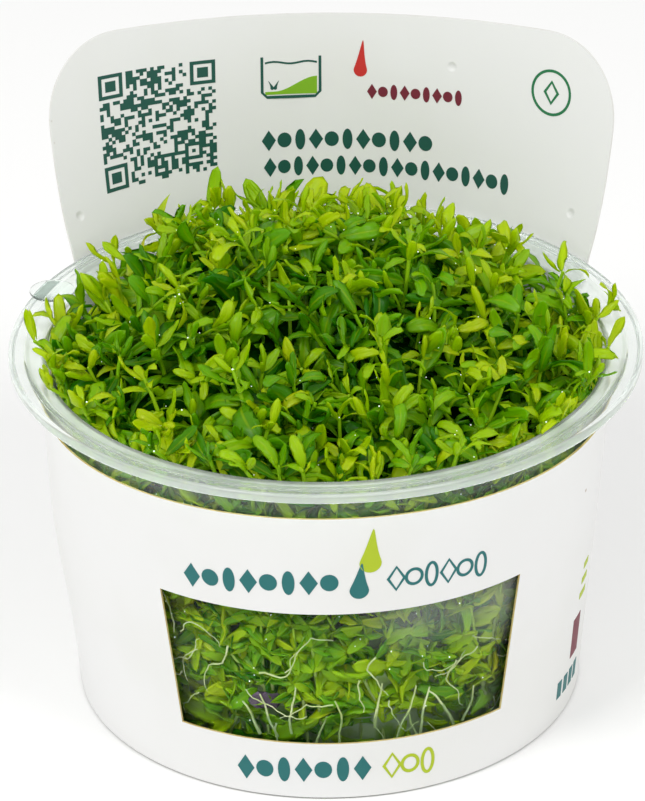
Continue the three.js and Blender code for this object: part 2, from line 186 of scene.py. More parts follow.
class NodeWriter:
    """Adds nodes to a tree."""

    def __init__(self, tree: bpy.types.NodeTree) -> None:
        """Keeps the tree."""
        self.tree = tree

    def node(
        self,
        kind: str,
        settings: Mapping[str, object] | None = None,
        sockets: Mapping[str | int, object] | None = None,
        out: str | int = 0,
    ) -> Value:
        """Adds a node.

        Args:
            kind: The node's type.
            settings: Its properties; "stops" gives a ramp's positions and colours.
            sockets: A value or a link for each input, by name or number.
            out: The output to give back.

        Returns:
            The chosen output.
        """
        made = self.tree.nodes.new(kind)
        for key, value in (settings or {}).items():
            if key == "stops":
                ramp = made.color_ramp
                while len(ramp.elements) < len(value):
                    ramp.elements.new(0.5)
                for element, (position, colour) in zip(ramp.elements, value):
                    element.position = position
                    element.color = colour
            else:
                setattr(made, key, value)
        for key, value in (sockets or {}).items():
            if isinstance(value, Value):
                self.tree.links.new(value.socket, made.inputs[key])
            else:
                made.inputs[key].default_value = value
        return Value(self, made.outputs[out] if len(made.outputs) else None)


class Shader(NodeWriter):
    """A material under construction."""

    def __init__(self, name: str) -> None:
        """Makes an empty material.

        Args:
            name: The material's name.
        """
        self.material = bpy.data.materials.new(name)
        self.material.use_nodes = True
        super().__init__(self.material.node_tree)
        self.tree.nodes.clear()

    def mix(self, share: Value | float, first: object, second: object) -> Value:
        """One colour mixed into another by a share."""
        return self.node("ShaderNodeMix", {"data_type": "RGBA"}, {0: share, 6: first, 7: second}, 2)

    def place(self) -> Value:
        """Object coordinates in metres."""
        return self.node("ShaderNodeTexCoord", out="Object")

    def parts(self, vector: Value) -> tuple[Value, Value, Value]:
        """The three parts of a vector.

        Args:
            vector: The vector.

        Returns:
            Its X, Y and Z.
        """
        split = self.node("ShaderNodeSeparateXYZ", sockets={0: vector})
        outputs = split.socket.node.outputs
        return tuple(Value(self, outputs[i]) for i in range(3))

    def rise(self, place: Value, low: float, high: float) -> Value:
        """How far up a place is from one height to another, both in millimetres."""
        return self.parts(place)[2].eased(low * MILLIMETRE, high * MILLIMETRE)

    def away(self, place: Value, spot: Spot) -> Value:
        """How far a place is from a spot given in millimetres."""
        point = tuple(v * MILLIMETRE for v in spot)
        return self.node("ShaderNodeVectorMath", {"operation": "DISTANCE"}, {0: place, 1: point}, out="Value")

    def noise(self, vector: Value, scale: float, detail: float = 2.0) -> Value:
        """Noise from 0 to 1."""
        return self.node("ShaderNodeTexNoise", sockets={"Vector": vector, "Scale": scale, "Detail": detail})

    def attribute(self, name: str) -> Value:
        """A number kept on the mesh."""
        return self.node("ShaderNodeAttribute", {"attribute_name": name}, out="Fac")

    def bump(self, height: Value, strength: float, distance: float) -> Value:
        """A bumped normal; distance is in metres."""
        return self.node("ShaderNodeBump", sockets={"Height": height, "Strength": strength, "Distance": distance})

    def principled(self, sockets: Mapping[str, object]) -> Value:
        """A surface from the values or links of its sockets."""
        return self.node("ShaderNodeBsdfPrincipled", sockets=sockets)

    def translucent(self, colour: Colour) -> Value:
        """Light that shines through a thin leaf or stem."""
        return self.node("ShaderNodeBsdfTranslucent", sockets={"Color": colour})

    def blend(self, share: Value | float, first: Value, second: Value) -> Value:
        """Two shaders mixed by a share."""
        return self.node("ShaderNodeMixShader", sockets={0: share, 1: first, 2: second})

    def finish_clear(self, body: Value, shadow: Colour) -> bpy.types.Material:
        """Finishes a clear body that casts a pale shadow of one colour."""
        through = self.node("ShaderNodeBsdfTransparent", sockets={"Color": shadow})
        return self.finish(self.blend(self.node("ShaderNodeLightPath", out="Is Shadow Ray"), body, through))

    def finish(self, surface: Value) -> bpy.types.Material:
        """Links the surface to the output and gives the material."""
        self.node("ShaderNodeOutputMaterial", sockets={"Surface": surface})
        return self.material


# Finishes


@dataclass(frozen=True)
class ClearPlastic:
    """Clear moulded plastic, more or less milky, with patches of mist, and milky patches round given spots as a
    painted reflection.
    """

    name: str
    haze: float
    mist: float
    ior: float
    roughness: float = 0.08
    tint: Colour = srgb(251, 254, 252)
    haze_colour: Colour = srgb(238, 244, 240)
    haze_roughness: float = 0.25
    shadow: Colour = srgb(244, 248, 246)
    mist_size: float = 45.0
    mist_edges: Pair = (0.45, 0.75)
    painted_reflection_spots: tuple[Spot, ...] = ()
    painted_reflection_reach: float = 0.012
    painted_reflection_share: float = 0.1

    def build(self) -> bpy.types.Material:
        """Makes the material.

        Returns:
            The material.
        """
        s = Shader(self.name)
        place = s.place()
        clear = {"Base Color": self.tint, "Roughness": self.roughness, "IOR": self.ior, "Transmission Weight": 1.0}
        milky = {"Base Color": self.haze_colour, "Roughness": self.haze_roughness, "IOR": self.ior}
        share = s.noise(place, self.mist_size, 4.0).eased(*self.mist_edges) * self.mist + self.haze
        # Milky patches round the given spots are a painted reflection of a soft lamp on the wall.
        for spot in self.painted_reflection_spots:
            share = share + s.away(place, spot).eased(self.painted_reflection_reach, 0.0) * self.painted_reflection_share
        return s.finish_clear(s.blend(share, s.principled(clear), s.principled(milky)), self.shadow)


@dataclass(frozen=True)
class Board:
    """Coated white card with a faint grain and small press marks."""

    name: str
    colour: Colour = srgb(233, 233, 232)
    shade: Colour = srgb(229, 229, 226)
    roughness: float = 0.48
    stain: Colour = srgb(150, 118, 84)
    blotch_size: float = 35.0
    blotch_edges: Pair = (0.35, 0.75)
    grain_size: float = 1500.0
    grain_share: float = 0.25
    bump_share: float = 0.35
    dimples: tuple[Spot, ...] = ()
    dimple_depth: float = 15.0
    dimple_edges: Pair = (0.00095, 0.0003)
    specks: tuple[Spot, ...] = ()
    speck_edges: Pair = (0.00042, 0.0001)
    speck_share: float = 0.8
    relief: float = 0.00004

    def build(self) -> bpy.types.Material:
        """Makes the material.

        Returns:
            The material.
        """
        s = Shader(self.name)
        place = s.place()
        blotch = s.noise(place, self.blotch_size, 3.0)
        height = s.noise(place, self.grain_size) * self.grain_share
        colour = s.mix(blotch.eased(*self.blotch_edges), self.colour, self.shade)
        for spot in self.dimples:
            height = height - self.dimple_depth * s.away(place, spot).eased(*self.dimple_edges)
        for spot in self.specks:
            colour = s.mix(s.away(place, spot).eased(*self.speck_edges) * self.speck_share, colour, self.stain)
        normal = s.bump(height, self.bump_share, self.relief)
        return s.finish(s.principled({"Base Color": colour, "Roughness": self.roughness, "Normal": normal}))


@dataclass(frozen=True)
class Plain:
    """A matt or glossy finish whose colour wanders a little."""

    name: str
    colour: Colour
    second: Colour
    roughness: float = 0.5
    patch_size: float = 300.0
    patch_edges: Pair = (0.3, 0.7)

    def build(self) -> bpy.types.Material:
        """Makes the material.

        Returns:
            The material.
        """
        s = Shader(self.name)
        patch = s.noise(s.place(), self.patch_size, 3.0).eased(*self.patch_edges)
        colour = s.mix(patch, self.colour, self.second)
        return s.finish(s.principled({"Base Color": colour, "Roughness": self.roughness}))


@dataclass(frozen=True)
class LeafSkin:
    """Thin translucent leaf, from deep green to yellow by its tone, with a pale midrib and a wet gloss."""

    name: str
    deep: Colour = srgb(52, 130, 2)
    middle: Colour = srgb(130, 196, 3)
    light: Colour = srgb(200, 226, 8)
    yellow: Colour = srgb(226, 220, 26)
    lit_deep: Colour = srgb(100, 196, 0)
    lit_light: Colour = srgb(218, 244, 6)
    through: float = 0.49
    roughness: float = 0.3
    specular: float = 0.33
    stops: tuple[float, ...] = (0.0, 0.42, 0.78, 1.0)
    rib_edges: Pair = (0.09, 0.02)
    rib_reach: Pair = (1.0, 0.5)
    rib_share: float = 0.45
    foot_reach: float = 0.22
    foot_share: float = 0.55
    glow_edges: Pair = (0.15, 0.75)
    fine_size: float = 900.0
    fine_tone: float = 0.16
    fine_roughness: float = 0.2
    relief_shares: tuple[float, float, float] = (0.4, -1.0, 0.5)
    relief: float = 0.0001

    def build(self) -> bpy.types.Material:
        """Makes the material.

        Returns:
            The material.
        """
        s = Shader(self.name)
        tone = s.attribute("tone")
        blade = s.node("ShaderNodeUVMap", {"uv_map": "leaf"})
        across, along, _ = s.parts(blade)
        fine = s.noise(s.place(), self.fine_size, 3.0)
        stops = list(zip(self.stops, (self.deep, self.middle, self.light, self.yellow)))
        skin = s.node("ShaderNodeValToRGB", {"stops": stops}, {0: tone + (fine - 0.5) * self.fine_tone})
        rib = abs(across - 0.5).eased(*self.rib_edges) * along.eased(*self.rib_reach)
        skin = s.mix(rib * self.rib_share, skin, self.light)
        skin = s.mix(along.eased(self.foot_reach, 0.0) * self.foot_share, skin, self.light)
        bands = {"wave_type": "BANDS", "bands_direction": "DIAGONAL"}
        vein = s.node("ShaderNodeTexWave", bands, {"Vector": blade, "Scale": 2.2, "Distortion": 1.5})
        vein_share, rib_share, fine_share = self.relief_shares
        face = s.principled(
            {
                "Base Color": skin,
                "Roughness": self.roughness + (fine - 0.5) * self.fine_roughness,
                "Normal": s.bump(vein * vein_share + rib * rib_share + fine * fine_share, 0.5, self.relief),
                "Specular IOR Level": self.specular,
            }
        )
        glow = s.blend(tone.eased(*self.glow_edges), s.translucent(self.lit_deep), s.translucent(self.lit_light))
        return s.finish(s.blend(self.through, face, glow))


@dataclass(frozen=True)
class StemSkin:
    """Juicy stem, yellow-green above and pale where it stands in the gel."""

    name: str
    pale: Colour = srgb(206, 214, 140)
    green: Colour = srgb(150, 208, 8)
    bright: Colour = srgb(204, 232, 34)
    lit: Colour = srgb(196, 240, 24)
    pale_below: float = 15.0
    green_above: float = 34.0
    through: float = 0.4

    def build(self) -> bpy.types.Material:
        """Makes the material.

        Returns:
            The material.
        """
        s = Shader(self.name)
        place = s.place()
        upper = s.mix(s.attribute("tone"), self.green, self.bright)
        skin = s.mix(s.rise(place, self.pale_below, self.green_above), self.pale, upper)
        face = s.principled({"Base Color": skin, "Roughness": 0.38 + 0.1 * s.noise(place, 800.0)})
        return s.finish(s.blend(self.through, face, s.translucent(self.lit)))


@dataclass(frozen=True)
class PaintedShadeBody:
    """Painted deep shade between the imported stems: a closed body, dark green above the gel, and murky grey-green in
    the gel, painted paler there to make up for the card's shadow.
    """

    name: str
    gel: Colour = srgb(198, 210, 172)
    murk: Colour = srgb(144, 180, 62)
    shade: Colour = srgb(4, 34, 3)
    green: Colour = srgb(24, 80, 4)
    murk_below: float = 18.0
    green_above: float = 32.0
    patch_size: float = 260.0
    patch_edges: Pair = (0.35, 0.7)

    def build(self) -> bpy.types.Material:
        """Makes the material.

        Returns:
            The material.
        """
        s = Shader(self.name)
        place = s.place()
        patch = s.noise(place, self.patch_size, 4.0).eased(*self.patch_edges)
        # The dark colours above the gel are painted shade; the pale ones in the gel are painted light.
        low, high = s.mix(patch, self.gel, self.murk), s.mix(patch, self.shade, self.green)
        colour = s.mix(s.rise(place, self.murk_below, self.green_above), low, high)
        return s.finish(s.principled({"Base Color": colour, "Roughness": 0.9, "Specular IOR Level": 0.0}))


@dataclass(frozen=True)
class Water:
    """A drop of water drawn as a painted glint: white, glossy and opaque, with a faint painted glow."""

    name: str
    colour: Colour = srgb(246, 252, 250)
    painted_glow: float = 0.9

    def build(self) -> bpy.types.Material:
        """Makes the material.

        Returns:
            The material.
        """
        s = Shader(self.name)
        # The drop's white glow is a painted glint; it is not sampled as a light.
        painted_glint = {"Emission Color": self.colour, "Emission Strength": self.painted_glow}
        drop = s.finish(s.principled({"Base Color": self.colour, "Roughness": 0.04, **painted_glint}))
        drop.cycles.emission_sampling = "NONE"
        return drop


@dataclass(frozen=True)
class GelBody:
    """Clear plant gel with a faint grey-green tint."""

    name: str
    tint: Colour = srgb(206, 222, 214)
    shadow: Colour = srgb(226, 236, 230)
    ior: float = 1.1
    roughness: float = 0.05

    def build(self) -> bpy.types.Material:
        """Makes the material.

        Returns:
            The material.
        """
        s = Shader(self.name)
        clear = {"Base Color": self.tint, "Roughness": self.roughness, "IOR": self.ior, "Transmission Weight": 1.0}
        return s.finish_clear(s.principled(clear), self.shadow)


# Mesh building


@dataclass
class Shape:
    """Corners in millimetres and faces, gathered before they become one mesh."""

    points: list[Vector] = field(default_factory=list)
    faces: list[Face] = field(default_factory=list)
    finishes: list[int] = field(default_factory=list)

    def add(self, points: Iterable[Vector], faces: Iterable[Face], finish: int = 0) -> None:
        """Adds corners with the faces between them.

        Args:
            points: The corners.
            faces: The faces, by the numbers of these corners.
            finish: The number of the faces' finish.
        """
        start = len(self.points)
        self.points.extend(Vector(p) for p in points)
        for face in faces:
            self.faces.append(tuple(start + i for i in face))
            self.finishes.append(finish)

    def make(self, name: str, materials: Sequence[bpy.types.Material], smooth_below: float) -> bpy.types.Object:
        """Turns the shape into an object.

        Args:
            name: The object's name.
            materials: Its materials, in the order of the faces' finish numbers.
            smooth_below: Edges turning by less than this many degrees are shaded smooth.

        Returns:
            The object, at the origin, with outward faces.
        """
        mesh = bpy.data.meshes.new(name)
        mesh.from_pydata([p * MILLIMETRE for p in self.points], [], self.faces)
        for material in materials:
            mesh.materials.append(material)
        mesh.polygons.foreach_set("material_index", self.finishes or [0] * len(self.faces))
        mesh.update()
        edit = bmesh.new()
        edit.from_mesh(mesh)
        bmesh.ops.recalc_face_normals(edit, faces=edit.faces)
        edit.to_mesh(mesh)
        edit.free()
        mesh.shade_smooth()
        mesh.set_sharp_from_angle(angle=math.radians(smooth_below))
        return linked(name, mesh)


def filleted(corners: Sequence[tuple[float, float, float]], steps: int = 4) -> list[Vector]:
    """Rounds the corners of an open section.

    Args:
        corners: Radius, height and rounding of each corner.
        steps: Pieces of each rounding.

    Returns:
        The section's points.
    """
    points: list[Vector] = []
    for i, (r, z, rounding) in enumerate(corners):
        here = Vector((r, z))
        if rounding == 0 or i in (0, len(corners) - 1):
            points.append(here)
            continue
        back = Vector(corners[i - 1][:2]) - here
        ahead = Vector(corners[i + 1][:2]) - here
        reach = min(rounding, 0.45 * back.length, 0.45 * ahead.length)
        start = here + back.normalized() * reach
        end = here + ahead.normalized() * reach
        points.extend(curve(start, here, end, steps))
    return points


def closed_round(
    columns: Sequence[Sequence[Vector]], first: Vector, last: Vector
) -> tuple[list[Vector], list[Face]]:
    """A closed body of columns of corners side by side round an axis, from one end point to the other.

    Args:
        columns: The corners of each column, in order round the axis.
        first: The end point that every column starts from.
        last: The end point where every column ends.

    Returns:
        The corners and the faces.
    """
    points = [first, last]
    faces: list[Face] = []
    rows = len(columns[0])
    for k, column in enumerate(columns):
        points.extend(column)
        here = 2 + k * rows
        there = 2 + (k + 1) % len(columns) * rows
        faces.append((0, here, there))
        faces.extend((here + i, here + i + 1, there + i + 1, there + i) for i in range(rows - 1))
        faces.append((here + rows - 1, 1, there + rows - 1))
    return points, faces


def turned(section: Sequence[Vector], sides: int) -> tuple[list[Vector], list[Face]]:
    """Turns a section that starts and ends on the axis about +Z."""
    columns = [[polar(p.x, FULL_TURN * k / sides, p.y) for p in section[1:-1]] for k in range(sides)]
    return closed_round(columns, Vector((0, 0, section[0].y)), Vector((0, 0, section[-1].y)))


# Growing on guides


class TreeInput(Enum):
    """Kinds of inputs that a geometry tree has."""

    NUMBER = "NodeSocketFloat"
    MATERIAL = "NodeSocketMaterial"
    COLLECTION = "NodeSocketCollection"


# The kinds of the values that are kept on guide points.
KEPT = {"turn": "FLOAT_VECTOR", "size": "FLOAT", "kind": "INT", "tone": "FLOAT", "thick": "FLOAT"}


@dataclass
class Plan:
    """Guide points in millimetres with the values kept on them, and the edges of paths."""

    points: list[Vector] = field(default_factory=list)
    edges: list[tuple[int, int]] = field(default_factory=list)
    values: dict[str, list[object]] = field(default_factory=dict)

    def add(self, point: Vector, **values: object) -> None:
        """Adds a point with its values.

        Args:
            point: The point.
            values: The values kept on it, by label.
        """
        self.points.append(point)
        for label, value in values.items():
            self.values.setdefault(label, []).append(value)

    def line(self, path: Sequence[Vector], start_radius: float, end_radius: float, tone: float) -> None:
        """Adds a path, whose radius in millimetres changes evenly.

        Args:
            path: The path's points.
            start_radius: The radius where it starts.
            end_radius: The radius where it ends.
            tone: The tone kept on its points.
        """
        for i, point in enumerate(path):
            radius = lerp(start_radius, end_radius, i / (len(path) - 1))
            self.add(point, thick=radius * MILLIMETRE, tone=tone)
            if i:
                self.edges.append((len(self.points) - 2, len(self.points) - 1))

    def guide(self, name: str) -> bpy.types.Object:
        """Makes the guide object.

        Args:
            name: The object's name.

        Returns:
            The guide object.
        """
        mesh = bpy.data.meshes.new(name)
        mesh.from_pydata([p * MILLIMETRE for p in self.points], self.edges, [])
        for label, values in self.values.items():
            layer = mesh.attributes.new(label, KEPT[label], "POINT")
            if KEPT[label] == "FLOAT_VECTOR":
                layer.data.foreach_set("vector", [part for value in values for part in value])
            else:
                layer.data.foreach_set("value", values)
        return linked(name, mesh)


class GrowthTree(NodeWriter):
    """A geometry node tree with named inputs."""

    def __init__(self, name: str, **inputs: TreeInput) -> None:
        """Makes a tree with a geometry input and output and the named inputs.

        Args:
            name: The tree's name.
            inputs: The kind of each named input.
        """
        super().__init__(bpy.data.node_groups.new(name, "GeometryNodeTree"))
        face = self.tree.interface
        face.new_socket("Geometry", in_out="INPUT", socket_type="NodeSocketGeometry")
        self.keys = {
            label: face.new_socket(label, in_out="INPUT", socket_type=kind.value).identifier
            for label, kind in inputs.items()
        }
        face.new_socket("Geometry", in_out="OUTPUT", socket_type="NodeSocketGeometry")
        self.source = self.tree.nodes.new("NodeGroupInput")

    def given(self, label: str = "Geometry") -> Value:
        """A named input of the tree."""
        return Value(self, self.source.outputs[label])

    def stored(self, label: str) -> Value:
        """A value kept on the guide's points."""
        return self.node("GeometryNodeInputNamedAttribute", {"data_type": KEPT[label]}, {"Name": label})

    def close(self, geometry: Value) -> None:
        """Realizes the instances, sets the material and ends the tree.

        Args:
            geometry: What the tree has made.
        """
        real = self.node("GeometryNodeRealizeInstances", sockets={0: geometry})
        dressed = self.node("GeometryNodeSetMaterial", sockets={"Geometry": real, "Material": self.given("Material")})
        self.node("NodeGroupOutput", sockets={0: dressed})

    def grow(self, name: str, guide: bpy.types.Object, **values: object) -> bpy.types.Object:
        """Runs the tree on a guide.

        Args:
            name: The name of the new object.
            guide: The object with the guide points, which is removed.
            values: The tree's inputs by label.

        Returns:
            A plain mesh object.
        """
        modifier = guide.modifiers.new(name, "NODES")
        modifier.node_group = self.tree
        for label, value in values.items():
            modifier[self.keys[label]] = value
        bpy.context.view_layer.update()
        evaluated = guide.evaluated_get(bpy.context.evaluated_depsgraph_get())
        mesh = bpy.data.meshes.new_from_object(evaluated)
        mesh.name = name
        bpy.data.objects.remove(guide)
        return linked(name, mesh)


def settle(piece: bpy.types.Object, nodes: Sequence[str] = ()) -> bpy.types.Object:
    """Lets a finished piece ride on the body and the solids it stands for, and reports it.

    Args:
        piece: The piece.
        nodes: The solids that it stands for, if any.

    Returns:
        The piece.
    """
    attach(piece, BODY)
    if nodes:
        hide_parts(*nodes)
    count = sum(len(p.vertices) - 2 for p in piece.data.polygons)
    LOG.info("%s: %d triangles, stands for %s", piece.name, count, ", ".join(nodes) or "nothing")
    return piece


# The vessel


@dataclass
class Cup:
    """The clear cup: a tapered bowl with a wide flange and a small translucent tab."""

    base_radius: float = 39.0
    neck_radius: float = 43.8
    neck_height: float = 57.1
    wall: float = 0.7
    floor: float = 1.0
    foot_rounding: float = 4.0
    flange_top: float = 58.5
    flange_radius: float = 49.0
    plate: float = 0.8
    lip_depth: float = 1.5
    lip_width: float = 0.9
    band_inner: float = 46.4
    channel_outer: float = 45.7
    channel_drop: float = 0.6
    sides: int = 160
    tab_radius: float = 3.6
    tab_centre: float = 46.4
    tab_angle: float = math.radians(-68)
    tab_thickness: float = 0.4
    milky_from: float = 44.0
    # The wall's two milky patches at the window's upper right are a painted reflection of a soft lamp.
    wall_plastic: ClearPlastic = ClearPlastic(
        "clear_wall_plastic", 0.001, 0.012, 1.1, painted_reflection_spots=((14.0, -39.0, 34.0), (26.0, -33.0, 32.0))
    )
    neck_plastic: ClearPlastic = ClearPlastic("milky_neck_plastic", 0.045, 0.05, 1.2)
    flange_plastic: ClearPlastic = ClearPlastic("milky_flange_plastic", 0.33, 0.0, 1.26, 0.09)
    band_plastic: ClearPlastic = ClearPlastic("milky_band_plastic", 0.14, 0.0, 1.26, 0.07)

    def outer_radius(self, z: float) -> float:
        """Outer radius of the bowl at a height."""
        return lerp(self.base_radius, self.neck_radius, z / self.neck_height)

    def inner_radius(self, z: float) -> float:
        """Inner radius of the bowl at a height."""
        return self.outer_radius(min(z, self.neck_height)) - self.wall

    def section(self) -> list[Vector]:
        """The bowl's section from the middle of its underside to the middle of its floor.

        Returns:
            The section's points.
        """
        top = self.flange_top
        lip_bottom = top - self.lip_depth
        under = top - self.plate
        channel = top - self.channel_drop
        neck = self.neck_height
        return filleted(
            [
                (0.0, 0.0, 0.0),
                (self.base_radius + 0.1, 0.0, self.foot_rounding),
                (self.outer_radius(self.milky_from), self.milky_from, 0.0),
                (self.neck_radius, neck, 0.4),
                (self.channel_outer + 0.3, neck, 0.3),
                (self.band_inner + 0.3, under, 0.3),
                (self.flange_radius - self.lip_width, under, 0.3),
                (self.flange_radius - self.lip_width + 0.25, lip_bottom, 0.25),
                (self.flange_radius, lip_bottom, 0.35),
                (self.flange_radius, top, 0.5),
                (self.band_inner, top, 0.3),
                (self.channel_outer, channel, 0.3),
                (self.inner_radius(neck) + 0.05, channel, 1.1),
                (self.inner_radius(self.milky_from), self.milky_from, 0.0),
                (self.inner_radius(self.floor), self.floor, self.foot_rounding - self.wall),
                (0.0, self.floor, 0.0),
            ]
        )

    def tab(self) -> tuple[list[Vector], list[Face]]:
        """The round tab that lies in the flange's edge and stands a little above it.

        Returns:
            Its corners and faces.
        """
        half = self.tab_thickness / 2
        section = filleted(
            [(0.0, -half, 0.0), (self.tab_radius, -half, 0.15), (self.tab_radius, half, 0.15), (0.0, half, 0.0)], 3
        )
        points, faces = turned(section, 48)
        centre = polar(self.tab_centre, self.tab_angle, self.flange_top + half)
        return [p + centre for p in points], faces

    def build(self) -> bpy.types.Object:
        """Makes the cup.

        Returns:
            The cup.
        """
        shape = Shape()
        shape.add(*turned(self.section(), self.sides))
        for number, face in enumerate(shape.faces):
            corners = [shape.points[i] for i in face]
            lowest = min(p.z for p in corners)
            nearest = min(math.hypot(p.x, p.y) for p in corners)
            shape.finishes[number] = int(lowest > self.milky_from - 0.1) + int(lowest > self.neck_height - self.wall)
            if lowest > self.neck_height and self.band_inner - 0.1 < nearest < self.flange_radius - self.lip_width:
                shape.finishes[number] = 3
        shape.add(*self.tab(), 1)
        kinds = (self.wall_plastic, self.neck_plastic, self.flange_plastic, self.band_plastic)
        plastics = [kind.build() for kind in kinds]
        return settle(shape.make("clear_cup", plastics, 55.0), ["cup"])


@dataclass
class CardForm:
    """Where the card lies: round the cup below the flange, and up and back as a tall panel behind it."""

    cup: Cup
    thickness: float = 0.34
    gap: float = 0.46
    back_base: float = 39.8
    back_rim: float = 49.85
    turn: float = math.radians(2)
    top: float = 89.4
    top_bend: float = 89.6
    half_width: float = 48.6
    corner: float = 12.7
    lean: float = math.tan(math.radians(10))
    blend_end: float = math.radians(88)
    bulge: float = 0.9
    bulge_height: float = 30.0
    bulge_rise: float = 14.0
    bulge_angle: float = math.radians(-92)
    bulge_spread: float = math.radians(24)

    def radius(self, angle: float, z: float) -> float:
        """Outer radius of the card below the flange.

        Args:
            angle: The angle from the back.
            z: The height.

        Returns:
            The radius.
        """
        snug = self.cup.outer_radius(z) + self.gap + self.thickness
        flared = lerp(self.back_base, self.back_rim, z / self.cup.flange_top)
        off = angle - self.turn
        from_back = abs(math.atan2(math.sin(off), math.cos(off)))
        share = 1 - smooth_share(from_back, self.half_width / self.back_rim, self.blend_end)
        side = (angle - self.bulge_angle) / self.bulge_spread
        height = (z - self.bulge_height) / self.bulge_rise
        return lerp(snug, flared, share) + self.bulge * math.exp(-side * side - height * height)

    def lower(self, angle: float, z: float, inset: float = 0.0) -> Vector:
        """A point on the card below the flange."""
        return polar(self.radius(angle, z) - inset, angle, z)

    def panel(self, along: float, z: float, inset: float = 0.0) -> Vector:
        """A point on the back panel, which leans back and flattens towards its top.

        Args:
            along: How far along the card it is.
            z: The height.
            inset: How far inside the outer side it is.

        Returns:
            The point.
        """
        rim = self.cup.flange_top
        if z < rim:
            return self.lower(along / self.back_rim + self.turn, z, inset)
        bend = lerp(self.back_rim, self.top_bend, (z - rim) / (self.top - rim))
        middle = self.back_rim + self.lean * (z - rim)
        turn = along / bend
        point = Vector(((bend - inset) * math.sin(turn), middle - bend + (bend - inset) * math.cos(turn), z))
        return Matrix.Rotation(-self.turn, 3, "Z") @ point

    def panel_top(self, along: float) -> float:
        """Height of the panel's edge, with its rounded corners.

        Args:
            along: How far along the card it is.

        Returns:
            The height.
        """
        into = abs(along) - (self.half_width - self.corner)
        drop = self.corner - math.sqrt(max(self.corner**2 - into**2, 0.0)) if into > 0 else 0.0
        return self.top - drop


class CardPart(Enum):
    """Which stretch of the sleeve a column belongs to."""

    PANEL = 0
    RIGHT = 1
    FRONT = 2
    LEFT = 3


